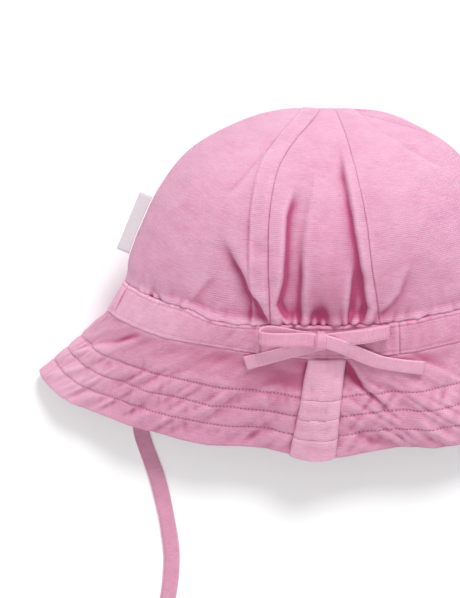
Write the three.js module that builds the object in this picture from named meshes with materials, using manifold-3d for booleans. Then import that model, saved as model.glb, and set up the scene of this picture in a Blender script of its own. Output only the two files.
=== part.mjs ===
// A baby's cotton sun hat, lying on its front with the back of the head upwards.
// Millimetres, +Z up. +Y points from the brim to the tip of the crown and +X to the hat's right as seen
// from above. The floor is z = 0, and the origin is on the flattened front of the crown.

import * as THREE from 'three';
import { mergeVertices } from 'three/addons/utils/BufferGeometryUtils.js';
import Module from 'manifold-3d';

// Rows of numbers under named columns
function table(names, ...rows) {
  return rows.map((row) => Object.fromEntries(names.map((name, i) => [name, row[i]])));
}

// Cloth and gaps
const PANEL_WALL = 1.2;
const BAND_WALL = 2.0;
const BRIM_WALL = 1.7;
const BAND_PROUD = 0.6;
const SEAM_GAP = 0.32;
const SEAM_SINK = 0.45;
const PANEL_END = 0.05;
const BRIM_START = 0.06;

// Levels along the hat, from the tip of the crown to the edge of the brim
const TIP_LEVEL = 0.2;
const BAND_TOP = 7;
const BAND_BOTTOM = 8;
const BRIM_EDGE = 11;

// Cross-sections of the crown and band. Each is an arch over the back and a flattened arc on the floor.
// bend shapes the sweep of the arch in Y, and soft is the radius with which the cloth meets the floor.
const CROWN_SECTIONS = table(
  ['level', 'halfWidth', 'sideY', 'sideZ', 'backY', 'backZ', 'frontY', 'frontZ', 'bend', 'soft'],
  [0, 0, 68.8, 30, 68.8, 30, 68.8, 30, 1.3, 3],
  [1, 25, 67.2, 35, 66.2, 51, 64, 16, 1.3, 4],
  [2, 44, 60.5, 37, 54.5, 67, 51, 2, 1.3, 6],
  [3, 63, 49, 38, 36, 77, 34, -8, 1.3, 7],
  [4, 77, 32, 38, 14, 80.5, 15, -14, 1.3, 7],
  [5, 86.5, 13, 37, -8, 77.5, -4, -18, 1.3, 7],
  [6, 92.5, -3, 35.5, -24, 70.5, -20, -18, 1.3, 7],
  [7, 94.5, -14.5, 34, -36.5, 62.5, -33, -18, 1.2, 7],
  [8, 103, -28.7, 30, -51.8, 56, -48, -18, 1.6, 6],
);

// Cross-sections of the brim, which flares from the lower edge of the band
const BRIM_SECTIONS = table(
  ['level', 'halfWidth', 'sideY', 'sideZ', 'backY', 'backZ', 'frontY', 'frontZ', 'bend', 'soft'],
  [8, 103, -28.7, 30, -51.8, 56, -48, -18, 1.6, 6],
  [9, 113.5, -38.2, 20, -67, 49.5, -62, -22, 1.5, 5],
  [10, 125.5, -48.4, 12, -83, 40, -77, -26, 1.4, 4],
  [11, 137.5, -58.3, 6, -99.5, 29, -92, -30, 1.35, 2.5],
);
const FRONT_BEND = 1.5;
const TIP_SHIFT_X = 2.6;
const TIP_SHIFT_LEVELS = 3.5;

// Angles of the seams of the back panels, in degrees from the middle of the back, level by level.
// The right side seam shows above the outline of the crown near the tip.
const SEAMS = table(
  ['level', 'left', 'right', 'sideRight'],
  [0, -20, 20, 46],
  [0.5, -11.5, 11, 38],
  [1, -8.5, 9.8, 38],
  [1.5, -10.4, 10.5, 52],
  [2, -15.2, 12, 72],
  [2.5, -18.7, 12.8, 84],
  [3, -20.2, 13.5, 86],
  [4, -19.4, 14.5, 86],
  [5, -17.6, 14.8, 86],
  [6, -15.9, 15.6, 86],
  [7, -15.4, 16.6, 86],
);
const SIDE_SEAM_LEFT = -92;
const FRONT_SEAM_LEFT = -150;
const FRONT_SEAM_RIGHT = 150;
const SIDE_CROWDING = 0.045;

// How far the edges of the band and brim wander up (+) or down (-) at the back.
// across is the place along the arch, -1 at the left side and 1 at the right side.
const EDGE_DRIFT = table(
  ['across', 'bandTop', 'bandBottom', 'brimEdge'],
  [-1, 0, 0, 0],
  [-0.95, 1.1, -0.3, -0.3],
  [-0.86, 1.1, -0.6, -0.6],
  [-0.7, 1.4, -0.4, 1.2],
  [-0.56, -2, 1, 1.6],
  [-0.4, -2, 1.2, 1.6],
  [-0.2, -0.2, 0.4, 2.2],
  [-0.06, 0, 0, -0.9],
  [0.05, 0, -0.2, -0.2],
  [0.2, 0, 0, 2.2],
  [0.3, -0.4, 0, 3.6],
  [0.42, -0.4, 0, 0.4],
  [0.6, 0.6, 0.6, -0.6],
  [0.8, 0, 0, 0.4],
  [1, 0, 0, 0],
);
const DRIFT_START = 5.5;

// The stiff band holds the cloth smooth, from a little above it to a little below it
const BAND_HOLD = 0.85;
const HOLD_ABOVE = 0.4;
const HOLD_BELOW = 0.6;

// Folds, each along a line from its firm end at a seam to its free end, where it dies out over its taper.
// crest is the side that stands proud, 1 for the right of the line and -1 for its left: it rises by rise and
// settles over riseReach, and the other side falls away by fall. sharp is half the width of the turn.
const FOLDS = [
  {
    name: 'left of the left seam', crest: 1, sharp: 1.7, taper: 22,
    rise: 2.2, riseReach: 8, fall: 5, fallReach: 11,
    points: [[-24.6, -36], [-30.8, -24], [-34.6, -19.3], [-40.7, -6.1], [-48.5, 9.5]],
  },
  {
    name: 'left seam strip', crest: -1, sharp: 1, taper: 13,
    rise: 1.3, riseReach: 5, fall: 4.6, fallReach: 7,
    points: [[-18, -35], [-22, -26.5], [-20.3, -18.3], [-18.9, -4.5], [-16.9, 14.8], [-12, 32]],
  },
  {
    name: 'left of the middle', crest: 1, sharp: 0.8, taper: 10,
    rise: 1.8, riseReach: 12, fall: 2.6, fallReach: 4.5,
    points: [[-10.6, -37], [-10.3, -20], [-10, 0], [-9.6, 11]],
  },
  {
    name: 'ridge of the middle', crest: 1, sharp: 1.3, taper: 16,
    rise: 0.9, riseReach: 4, fall: 0.5, fallReach: 5,
    points: [[-10, 6], [-7.6, 18], [-5.8, 30], [-5, 44]],
  },
  {
    name: 'right of the middle', crest: -1, sharp: 1.3, taper: 17,
    rise: 1.4, riseReach: 9, fall: 3.2, fallReach: 5,
    points: [[10.8, -37], [11.7, -26], [13.4, -12.7], [12.4, -2]],
  },
  {
    name: 'right seam strip', crest: 1, sharp: 0.8, taper: 20,
    rise: 1.4, riseReach: 5, fall: 4.6, fallReach: 7,
    points: [[18.5, -36.5], [21, -28], [18.4, -11.3], [14.6, 8], [11.6, 27], [8.4, 46], [7.2, 52]],
  },
  {
    name: 'right of the right seam', crest: -1, sharp: 1.2, taper: 18,
    rise: 1.2, riseReach: 7, fall: 2, fallReach: 8,
    points: [[24.5, -35], [26.6, -29.7], [31.6, -25.7], [35.5, -21.4], [38.5, -13], [41.5, 0]],
  },
  {
    name: 'left shoulder', crest: 1, sharp: 2.4, taper: 14,
    rise: 0.6, riseReach: 5, fall: 1.5, fallReach: 6,
    points: [[-40, 30], [-28, 44], [-15, 57]],
  },
  {
    name: 'right shoulder', crest: 1, sharp: 2.2, taper: 16,
    rise: 0.5, riseReach: 6, fall: 1.6, fallReach: 9,
    points: [[19, 62.9], [22.7, 58.7], [35.9, 49.8], [49.1, 40.9], [64.1, 34.8]],
  },
  {
    name: 'left panel, low', crest: -1, sharp: 1.6, taper: 9,
    rise: 0.8, riseReach: 4, fall: 1, fallReach: 7,
    points: [[-65, -26], [-57, -17.5], [-50, -9]],
  },
  {
    name: 'brim, right of the strip', crest: -1, sharp: 0.9, taper: 26,
    rise: 1.6, riseReach: 8, fall: 2.2, fallReach: 7,
    points: [[10.5, -50.5], [15, -57.5], [20, -66], [28, -71.5], [36, -77.5], [43, -84.5]],
  },
  {
    name: 'brim, right of the tail', crest: 1, sharp: 1.6, taper: 14,
    rise: 1.2, riseReach: 8, fall: 1.3, fallReach: 6,
    points: [[46, -51.5], [54, -55.5], [68, -61.5]],
  },
  {
    name: 'brim, upper left', crest: 1, sharp: 1.5, taper: 16,
    rise: 1.6, riseReach: 8, fall: 1.8, fallReach: 7,
    points: [[-112, -46.8], [-96, -44], [-80, -40.5]],
  },
  {
    name: 'brim, lower left', crest: 1, sharp: 1.4, taper: 12,
    rise: 1.2, riseReach: 6, fall: 1.4, fallReach: 5,
    points: [[-124, -58.2], [-115, -56.5], [-99, -51.6]],
  },
];
const FOLD_FADE = 9;
const LEAST_SHARP = 1.3;

// Broad swells (+) and hollows (-) of the back, as smooth mounds over an oval
const SWELLS = table(
  ['name', 'x', 'y', 'radiusX', 'radiusY', 'height'],
  ['middle of the back', 1, -8, 13, 26, 2.6],
  ['pinch above the bow', -1.5, -33, 5, 6, -3.4],
  ['hollow of the left panel', -50, -20, 16, 18, -1.6],
  ['hollow of the right panel', 50, -14, 16, 18, -1.6],
  ['right brim lifted', 58, -84, 26, 16, 4],
  ['brim, left of the strip', -20, -62, 10, 9, -2.6],
  ['brim, right of the strip', 16, -60, 6, 9, -1.6],
);

// Gathers where the crown meets the band, and ruffles of the brim
const GATHER_COUNT = 42;
const GATHER_DEPTH = 1;
const GATHER_REACH = 0.6;
const GATHER_START = 0.3;
const RUFFLES = table(
  ['count', 'phase', 'height'],
  [9, 0.4, 0.9],
  [17, 1.9, 0.6],
);

// Strip down the back of the brim
const STRIP_ROWS = table(
  ['level', 'left', 'right'],
  [8.05, -5.4, 9.6],
  [8.6, -7.2, 8.8],
  [9.25, -8.7, 7.9],
  [9.8, -10.2, 7],
  [10.4, -12.2, 6.5],
  [10.97, -14, 5.7],
);
const STRIP_WALL = 1.3;
const STRIP_GAP = 0.45;

// Drawstring and its bow. lift is the height of the middle of the tape over the band or brim.
const TAPE_WIDTH = 6.8;
const TAPE_WALL = 1.1;
const BOW_RIBBONS = [
  {
    name: 'left loop', flat: false, steps: 20,
    path: [
      { x: -0.8, y: -41.8, lift: 4 },
      { x: -9, y: -40, lift: 6 },
      { x: -17, y: -39.6, lift: 7.4 },
      { x: -24, y: -39.3, lift: 7.6 },
      { x: -28.2, y: -39.1, lift: 6.4 },
      { x: -29.2, y: -38.6, lift: 4.8 },
      { x: -28, y: -38.1, lift: 3.2 },
      { x: -24, y: -38, lift: 2.4 },
      { x: -17, y: -39.2, lift: 2.3 },
      { x: -12.5, y: -40.2, lift: 2.3 },
      { x: -6, y: -41.2, lift: 2.4 },
      { x: -0.8, y: -42.2, lift: 2.6 },
    ],
  },
  {
    name: 'right loop', flat: false, steps: 20,
    path: [
      { x: -0.8, y: -41.2, lift: 4.6 },
      { x: 9, y: -40, lift: 5 },
      { x: 18, y: -39.1, lift: 4.9 },
      { x: 26, y: -37.8, lift: 4.5 },
      { x: 29.6, y: -37.4, lift: 4 },
      { x: 30.7, y: -37.6, lift: 3 },
      { x: 29.6, y: -37.9, lift: 2.2 },
      { x: 26, y: -38.5, lift: 1.9 },
      { x: 16, y: -40.1, lift: 1.8 },
      { x: -0.8, y: -42.3, lift: 2.4 },
    ],
  },
  {
    name: 'left tail', flat: true, steps: 9,
    path: [
      { x: -0.8, y: -43.6, lift: 1.8 },
      { x: -10, y: -46.2, lift: 1.3 },
      { x: -19.5, y: -48.9, lift: 1.3 },
      { x: -28, y: -51.2, lift: 1.3 },
      { x: -36.5, y: -53.4, lift: 1.3 },
    ],
  },
  {
    name: 'right tail', flat: true, steps: 11,
    path: [
      { x: -0.8, y: -40.4, lift: 6 },
      { x: 6, y: -42.7, lift: 6.2 },
      { x: 12, y: -45.5, lift: 5.2 },
      { x: 19, y: -49.3, lift: 3 },
      { x: 27, y: -52.6, lift: 1.6 },
      { x: 37, y: -54.4, lift: 1.3 },
      { x: 48, y: -55.8, lift: 1.3 },
    ],
  },
];
const KNOT = { x: -1.1, y: -41.3, lift: 4.4, sizeX: 6, sizeY: 9, sizeZ: 7.4 };

// Chin ties: flat tapes that come out between the two halves of the brim and lie on the floor
const TIE_WIDTH = 7.8;
const TIE_WALL = 1.3;
const TIE_SIDES = 8;
const TIE_STEPS = 22;
const TIE_ROUTE = [
  [-81.2, -29, 10.5], [-81.9, -33, 10.2], [-82.6, -37, 8.6], [-83.8, -41, 6.4], [-85, -46, 4.4],
  [-86.4, -53, 3], [-87.6, -63, 2.8], [-88.2, -73, 2.85], [-88.4, -79.5, 2.9], [-88.3, -84.5, 2],
  [-87.6, -90, 1.05], [-85.6, -96.5, 0.85], [-83, -103.5, 0.8], [-80, -112, 0.8], [-77, -123.7, 0.8],
  [-74.6, -135.6, 0.8], [-73, -147.4, 0.8], [-73, -157, 0.8], [-74.2, -168.2, 0.8], [-76.6, -181, 0.8],
  [-80, -194, 0.8], [-84.4, -207, 0.8],
];
const TIE_RIGHT_SHIFT = 5;

// Ribbon tag in the left side seam
const TAG = { startLevel: 4.35, endLevel: 5.92, width: 7, gap: 0.45, wall: 1, steps: 4 };

const COLOURS = { cloth: 0xe5a3be, band: 0xdd9bb8, tape: 0xe2a3bd, tag: 0xe6dce0 };

const radians = THREE.MathUtils.degToRad;
const lerp = THREE.MathUtils.lerp;
const smooth = (t) => THREE.MathUtils.smoothstep(t, 0, 1);

// Smooth value of one column of a table at a place between its rows
function sample(rows, key, column, at) {
  let i = 0;
  while (i < rows.length - 2 && at > rows[i + 1][key]) i += 1;
  const a = rows[i];
  const b = rows[i + 1];
  const before = rows[Math.max(i - 1, 0)];
  const after = rows[Math.min(i + 2, rows.length - 1)];
  const span = b[key] - a[key];
  const t = THREE.MathUtils.clamp((at - a[key]) / span, 0, 1);
  const slopeA = ((b[column] - before[column]) / (b[key] - before[key])) * span;
  const slopeB = ((after[column] - a[column]) / (after[key] - a[key])) * span;
  const t2 = t * t;
  const t3 = t2 * t;
  return (2 * t3 - 3 * t2 + 1) * a[column] + (t3 - 2 * t2 + t) * slopeA
    + (3 * t2 - 2 * t3) * b[column] + (t3 - t2) * slopeB;
}

// Height of cloth that would hang below the floor: it rounds onto the floor and then lies flat
function onFloor(z, soft) {
  if (z <= -soft) return 0;
  if (z >= soft) return z;
  return (z + soft) ** 2 / (4 * soft);
}

// Drift in Y of the band's and brim's edges at a place across the back
function edgeDrift(across, level) {
  if (level <= DRIFT_START) return 0;
  const bandTop = sample(EDGE_DRIFT, 'across', 'bandTop', across);
  if (level <= BAND_TOP) return bandTop * smooth((level - DRIFT_START) / (BAND_TOP - DRIFT_START));
  const bandBottom = sample(EDGE_DRIFT, 'across', 'bandBottom', across);
  if (level <= BAND_BOTTOM) return lerp(bandTop, bandBottom, level - BAND_TOP);
  const brimEdge = sample(EDGE_DRIFT, 'across', 'brimEdge', across);
  return lerp(bandBottom, brimEdge, (level - BAND_BOTTOM) / (BRIM_EDGE - BAND_BOTTOM));
}

// Point of the smooth hat, without folds. theta is the angle round the head from the middle of the back.
function smoothPoint(theta, level) {
  const rows = level <= BAND_BOTTOM ? CROWN_SECTIONS : BRIM_SECTIONS;
  const column = (name) => sample(rows, 'level', name, level);
  const across = Math.sin(theta);
  const facing = Math.cos(theta);
  const tipShift = TIP_SHIFT_X * (1 - smooth(level / TIP_SHIFT_LEVELS));
  const x = tipShift + column('halfWidth') * across;
  const sideY = column('sideY');
  const sideZ = column('sideZ');
  if (facing >= 0) {
    const y = lerp(sideY, column('backY'), facing ** column('bend')) + edgeDrift(across, level);
    return new THREE.Vector3(x, y, lerp(sideZ, column('backZ'), facing));
  }
  const y = lerp(sideY, column('frontY'), (-facing) ** FRONT_BEND);
  return new THREE.Vector3(x, y, onFloor(lerp(sideZ, column('frontZ'), -facing), column('soft')));
}

// Distance from a fold's line, positive on its right, how far past the line's ends it is, and how much of
// the line is left from there to its free end
function foldDistance(points, x, y) {
  let best = Infinity;
  let signed = 0;
  let past = 0;
  let place = 0;
  let done = 0;
  for (let i = 0; i < points.length - 1; i += 1) {
    const [ax, ay] = points[i];
    const dx = points[i + 1][0] - ax;
    const dy = points[i + 1][1] - ay;
    const length = Math.hypot(dx, dy);
    const along = ((x - ax) * dx + (y - ay) * dy) / length;
    const inside = THREE.MathUtils.clamp(along, 0, length);
    const away = Math.hypot(x - ax - (dx * inside) / length, y - ay - (dy * inside) / length);
    if (away < best) {
      best = away;
      signed = ((x - ax) * dy - (y - ay) * dx) / length;
      past = Math.abs(along - inside);
      place = done + inside;
    }
    done += length;
  }
  return { signed, past, left: done - place };
}

function foldHeight(fold, x, y) {
  const { signed, past, left } = foldDistance(fold.points, x, y);
  const side = signed * fold.crest;
  const fade = Math.exp(-((past / FOLD_FADE) ** 2)) * smooth(left / fold.taper);
  const step = Math.tanh(side / Math.max(fold.sharp, LEAST_SHARP));
  if (side > 0) return fade * step * fold.rise * Math.exp(-side / fold.riseReach);
  return fade * step * fold.fall * Math.exp(side / fold.fallReach);
}

function swellHeight(swell, x, y) {
  const dx = (x - swell.x) / swell.radiusX;
  const dy = (y - swell.y) / swell.radiusY;
  return swell.height * Math.exp(-(dx * dx + dy * dy));
}

// Height of all folds, swells, gathers and ruffles over the smooth hat
function relief(theta, level, x, y) {
  const facing = Math.cos(theta);
  if (facing <= 0) return 0;
  let height = 0;
  for (const fold of FOLDS) height += foldHeight(fold, x, y);
  for (const swell of SWELLS) height += swellHeight(swell, x, y);
  const held = level < BAND_BOTTOM
    ? smooth((level - BAND_TOP) / HOLD_ABOVE + 1)
    : 1 - smooth((level - BAND_BOTTOM) / HOLD_BELOW);
  height *= 1 - BAND_HOLD * held;
  if (level < BAND_TOP) {
    const above = BAND_TOP - level;
    const near = smooth(above / GATHER_START) * Math.exp(-((above / GATHER_REACH) ** 2));
    height += GATHER_DEPTH * near * Math.sin(theta * GATHER_COUNT);
  }
  if (level > BAND_BOTTOM) {
    const out = (level - BAND_BOTTOM) / (BRIM_EDGE - BAND_BOTTOM);
    for (const wave of RUFFLES) height += out * wave.height * Math.sin(theta * wave.count + wave.phase);
  }
  return height * smooth(facing / 0.35);
}

// Small steps for working out slopes of the cloth
const STEP_THETA = 0.004;
const STEP_LEVEL = 0.01;

// Outward normal of a surface that is given as a function of theta and level
function normalOf(surface, theta, level) {
  const low = Math.max(level - STEP_LEVEL, 0.02);
  const high = Math.min(level + STEP_LEVEL, BRIM_EDGE);
  const along = surface(theta, high).sub(surface(theta, low));
  const round = surface(theta + STEP_THETA, level).sub(surface(theta - STEP_THETA, level));
  return along.cross(round).normalize();
}

// Point of the folded cloth, which lies on the floor at the front
function clothPoint(theta, level) {
  const point = smoothPoint(theta, level);
  const height = relief(theta, level, point.x, point.y);
  if (height === 0) return point;
  return point.addScaledVector(normalOf(smoothPoint, theta, level), height);
}

// The same point moved out (+) or in (-) through the cloth, but never below the floor
function offsetPoint(theta, level, offset) {
  const point = clothPoint(theta, level);
  if (offset === 0) return point;
  point.addScaledVector(normalOf(clothPoint, theta, level), offset);
  point.z = Math.max(point.z, 0);
  return point;
}

// theta and level of the cloth seen from above at a place on the back
function findOnBack(x, y) {
  let theta = Math.asin(THREE.MathUtils.clamp(x / 110, -0.9, 0.9));
  let level = y > -52 ? 7.5 : 9;
  for (let turn = 0; turn < 24; turn += 1) {
    const here = clothPoint(theta, level);
    const byTheta = clothPoint(theta + STEP_THETA, level).sub(here).divideScalar(STEP_THETA);
    const byLevel = clothPoint(theta, level + STEP_LEVEL).sub(here).divideScalar(STEP_LEVEL);
    const det = byTheta.x * byLevel.y - byTheta.y * byLevel.x;
    const missX = x - here.x;
    const missY = y - here.y;
    theta += THREE.MathUtils.clamp((missX * byLevel.y - missY * byLevel.x) / det, -0.2, 0.2);
    level += THREE.MathUtils.clamp((missY * byTheta.x - missX * byTheta.y) / det, -0.5, 0.5);
    level = THREE.MathUtils.clamp(level, 0.5, BRIM_EDGE - 0.02);
  }
  return { theta, level };
}

// Closed mesh from a list of points and quads
function meshGeometry(points, quads) {
  const position = new Float32Array(points.length * 3);
  points.forEach((point, i) => point.toArray(position, i * 3));
  const index = [];
  for (const [a, b, c, d] of quads) {
    index.push(a, b, c);
    if (d !== undefined) index.push(a, c, d);
  }
  const geometry = new THREE.BufferGeometry();
  geometry.setAttribute('position', new THREE.BufferAttribute(position, 3));
  geometry.setIndex(index);
  return geometry;
}

// A patch of cloth with a wall: outer(i, j) and inner(i, j) give its two faces over a grid
function patch(columns, rows, outer, inner) {
  const points = [];
  const quads = [];
  const width = rows + 1;
  const count = (columns + 1) * width;
  for (const face of [outer, inner]) {
    for (let i = 0; i <= columns; i += 1) {
      for (let j = 0; j <= rows; j += 1) points.push(face(i, j));
    }
  }
  const at = (i, j) => i * width + j;
  for (let i = 0; i < columns; i += 1) {
    for (let j = 0; j < rows; j += 1) {
      quads.push([at(i, j), at(i, j + 1), at(i + 1, j + 1), at(i + 1, j)]);
      quads.push([at(i, j), at(i + 1, j), at(i + 1, j + 1), at(i, j + 1)].map((k) => k + count));
    }
  }
  for (let i = 0; i < columns; i += 1) {
    quads.push([at(i, 0), at(i + 1, 0), at(i + 1, 0) + count, at(i, 0) + count]);
    quads.push([at(i + 1, rows), at(i, rows), at(i, rows) + count, at(i + 1, rows) + count]);
  }
  for (let j = 0; j < rows; j += 1) {
    quads.push([at(0, j + 1), at(0, j), at(0, j) + count, at(0, j + 1) + count]);
    quads.push([at(columns, j), at(columns, j + 1), at(columns, j + 1) + count, at(columns, j) + count]);
  }
  return meshGeometry(points, quads);
}

// A closed ring round the head: section(theta) lists the points of its cross-section in order
function ring(angles, section) {
  const sections = angles.map(section);
  const size = sections[0].length;
  const quads = [];
  for (let i = 0; i < angles.length; i += 1) {
    const next = (i + 1) % angles.length;
    for (let j = 0; j < size; j += 1) {
      const k = (j + 1) % size;
      quads.push([i * size + j, i * size + k, next * size + k, next * size + j]);
    }
  }
  return meshGeometry(sections.flat(), quads);
}

// Angle of each seam at a level
const seamAt = {
  backLeft: (level) => radians(sample(SEAMS, 'level', 'left', level)),
  backRight: (level) => radians(sample(SEAMS, 'level', 'right', level)),
  sideLeft: () => radians(SIDE_SEAM_LEFT),
  sideRight: (level) => radians(sample(SEAMS, 'level', 'sideRight', level)),
  frontLeft: () => radians(FRONT_SEAM_LEFT),
  frontRight: () => radians(FRONT_SEAM_RIGHT),
  frontLeftAgain: () => radians(FRONT_SEAM_LEFT + 360),
  sideLeftAgain: () => radians(SIDE_SEAM_LEFT + 360),
};

// One wedge of the crown between two seams. crowd draws its columns towards the first (-) or last (+) seam.
function crownPanel(from, to, columns, rows, crowd = 0) {
  const lowest = BAND_TOP - PANEL_END;
  const levelOf = (j) => lerp(TIP_LEVEL, lowest, (j / rows) ** 0.94);
  const thetaOf = (i, level) => {
    const start = seamAt[from](level);
    const end = seamAt[to](level);
    const middle = (start + end) / 2;
    const girth = clothPoint(middle + 0.05, level).distanceTo(clothPoint(middle - 0.05, level)) / 0.1;
    const gap = SEAM_GAP / 2 / girth;
    const t = i / columns;
    return lerp(start + gap, end - gap, t + crowd * t * (1 - t));
  };
  const at = (i, j, offset) => {
    const level = levelOf(j);
    return offsetPoint(thetaOf(i, level), level, offset);
  };
  const sink = (i) => (i === 0 || i === columns ? -SEAM_SINK : 0);
  return patch(columns, rows, (i, j) => at(i, j, sink(i)), (i, j) => at(i, j, -PANEL_WALL));
}

// Angles round the head, close together at the back and towards the sides
function anglesRound(backCount, frontCount) {
  const angles = [];
  for (let i = 0; i < backCount; i += 1) angles.push(radians(-90 + (180 * i) / backCount));
  for (let i = 0; i < frontCount; i += 1) {
    const t = i / frontCount;
    angles.push(radians(90 + 180 * (t - SIDE_CROWDING * Math.sin(4 * Math.PI * t))));
  }
  return angles;
}

function headBand() {
  const levels = [BAND_TOP, BAND_TOP + 0.33, BAND_TOP + 0.67, BAND_BOTTOM];
  const section = (theta) => {
    const outer = levels.map((level) => offsetPoint(theta, level, BAND_PROUD));
    const inner = [BAND_BOTTOM, BAND_TOP + 0.5, BAND_TOP].map(
      (level) => offsetPoint(theta, level, BAND_PROUD - BAND_WALL),
    );
    return [...outer, ...inner];
  };
  return ring(anglesRound(44, 22), section);
}

function brim() {
  const start = BAND_BOTTOM + BRIM_START;
  const rows = 6;
  const levelOf = (j) => lerp(start, BRIM_EDGE, j / rows);
  const section = (theta) => {
    const points = [];
    for (let j = 0; j <= rows; j += 1) points.push(offsetPoint(theta, levelOf(j), 0));
    for (let j = rows; j >= 0; j -= 2) points.push(offsetPoint(theta, levelOf(j), -BRIM_WALL));
    return points;
  };
  return ring(anglesRound(60, 28), section);
}

function brimBackStrip() {
  const columns = 4;
  const rows = 9;
  const first = STRIP_ROWS[0].level;
  const last = STRIP_ROWS[STRIP_ROWS.length - 1].level;
  const at = (i, j, offset) => {
    const level = lerp(first, last, j / rows);
    const left = sample(STRIP_ROWS, 'level', 'left', level);
    const right = sample(STRIP_ROWS, 'level', 'right', level);
    const x = lerp(left, right, i / columns);
    const halfWidth = sample(BRIM_SECTIONS, 'level', 'halfWidth', level);
    return offsetPoint(Math.asin(x / halfWidth), level, offset);
  };
  const low = STRIP_GAP;
  return patch(columns, rows, (i, j) => at(i, j, low + STRIP_WALL), (i, j) => at(i, j, low));
}

// A tape swept along a path of places over the back. A flat tape lies with its width along the cloth, and
// the tape of a loop keeps its width down the hat while it turns over.
function ribbon({ path, flat, steps }) {
  const places = path.map(({ x, y, lift }) => {
    const { theta, level } = findOnBack(x, y);
    const normal = normalOf(smoothPoint, theta, level);
    const point = clothPoint(theta, level).addScaledVector(normal, BAND_PROUD + lift);
    return { point, normal };
  });
  const curve = new THREE.CatmullRomCurve3(places.map((place) => place.point), false, 'centripetal');
  const normals = new THREE.CatmullRomCurve3(places.map((place) => place.normal), false, 'centripetal');
  const downHat = new THREE.Vector3(0, -1, -0.35).normalize();
  const points = [];
  for (let i = 0; i <= steps; i += 1) {
    const t = i / steps;
    const middle = curve.getPoint(t);
    const tangent = curve.getTangent(t);
    const side = flat
      ? new THREE.Vector3().crossVectors(tangent, normals.getPoint(t)).normalize()
      : downHat.clone().addScaledVector(tangent, -downHat.dot(tangent)).normalize();
    const up = new THREE.Vector3().crossVectors(side, tangent).normalize();
    for (const [w, h] of [[1, 1], [-1, 1], [-1, -1], [1, -1]]) {
      points.push(middle.clone()
        .addScaledVector(side, (w * TAPE_WIDTH) / 2)
        .addScaledVector(up, (h * TAPE_WALL) / 2));
    }
  }
  const quads = [[0, 1, 2, 3]];
  for (let i = 0; i < steps; i += 1) {
    for (let k = 0; k < 4; k += 1) {
      const m = (k + 1) % 4;
      quads.push([i * 4 + k, (i + 1) * 4 + k, (i + 1) * 4 + m, i * 4 + m]);
    }
  }
  const end = steps * 4;
  quads.push([end + 3, end + 2, end + 1, end]);
  return meshGeometry(points, quads);
}

function knot() {
  const { theta, level } = findOnBack(KNOT.x, KNOT.y);
  const normal = normalOf(smoothPoint, theta, level);
  const centre = clothPoint(theta, level).addScaledVector(normal, BAND_PROUD + KNOT.lift);
  const geometry = new THREE.SphereGeometry(0.5, 12, 9);
  geometry.scale(KNOT.sizeX, KNOT.sizeY, KNOT.sizeZ);
  geometry.rotateX(Math.atan2(-normal.y, normal.z));
  geometry.translate(centre.x, centre.y, centre.z);
  return geometry;
}

// Joins closed meshes into one
function fuse(wasm, geometries) {
  let whole = null;
  for (const source of geometries) {
    const bare = new THREE.BufferGeometry();
    bare.setAttribute('position', source.getAttribute('position'));
    if (source.index) bare.setIndex(source.index);
    const merged = mergeVertices(bare, 1e-4);
    const solid = new wasm.Manifold(new wasm.Mesh({
      numProp: 3,
      vertProperties: new Float32Array(merged.getAttribute('position').array),
      triVerts: new Uint32Array(merged.index.array),
    }));
    whole = whole ? whole.add(solid) : solid;
  }
  const mesh = whole.getMesh();
  const geometry = new THREE.BufferGeometry();
  geometry.setAttribute('position', new THREE.BufferAttribute(new Float32Array(mesh.vertProperties), 3));
  geometry.setIndex(new THREE.BufferAttribute(new Uint32Array(mesh.triVerts), 1));
  return geometry;
}

// Flat tape swept along the route of a chin tie. side is -1 for the left tie and 1 for the right one.
function chinTie(side) {
  const shift = side > 0 ? TIE_RIGHT_SHIFT : 0;
  const route = TIE_ROUTE.map(([x, y, z], i) => {
    const spread = shift * smooth((i - 6) / 6);
    return new THREE.Vector3(-side * x + side * spread, y, z);
  });
  const path = new THREE.CatmullRomCurve3(route, false, 'centripetal');
  const outline = new THREE.Shape();
  for (let k = 0; k < TIE_SIDES; k += 1) {
    const angle = (2 * Math.PI * (k + 0.5)) / TIE_SIDES;
    const across = Math.sign(Math.sin(angle)) * Math.abs(Math.sin(angle)) ** 0.35;
    const thick = Math.sign(Math.cos(angle)) * Math.abs(Math.cos(angle)) ** 0.7;
    const method = k === 0 ? 'moveTo' : 'lineTo';
    outline[method]((thick * TIE_WALL) / 2, (across * TIE_WIDTH) / 2);
  }
  outline.closePath();
  return new THREE.ExtrudeGeometry(outline, { steps: TIE_STEPS, extrudePath: path, curveSegments: 1 });
}

// A doubled ribbon whose inner edge follows the left side seam
function sideTag() {
  const seam = (level) => smoothPoint(radians(-90), level);
  const start = seam(TAG.startLevel);
  const end = seam(TAG.endLevel);
  const outward = new THREE.Vector3(end.y - start.y, start.x - end.x, 0).normalize();
  const at = (i, j, lift) => {
    const t = j / TAG.steps;
    const outer = start.clone().lerp(end, t).addScaledVector(outward, TAG.width);
    const inner = seam(lerp(TAG.startLevel, TAG.endLevel, t)).addScaledVector(outward, TAG.gap);
    const point = i === 0 ? outer : inner;
    point.z += lift;
    return point;
  };
  return patch(1, TAG.steps, (i, j) => at(i, j, TAG.wall / 2), (i, j) => at(i, j, -TAG.wall / 2));
}

const wasm = await Module();
wasm.setup();
const group = new THREE.Group();

function addPiece(name, geometry, color) {
  const material = new THREE.MeshStandardMaterial({ color, roughness: 0.9, metalness: 0 });
  const mesh = new THREE.Mesh(geometry, material);
  mesh.name = name;
  group.add(mesh);
}

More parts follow.
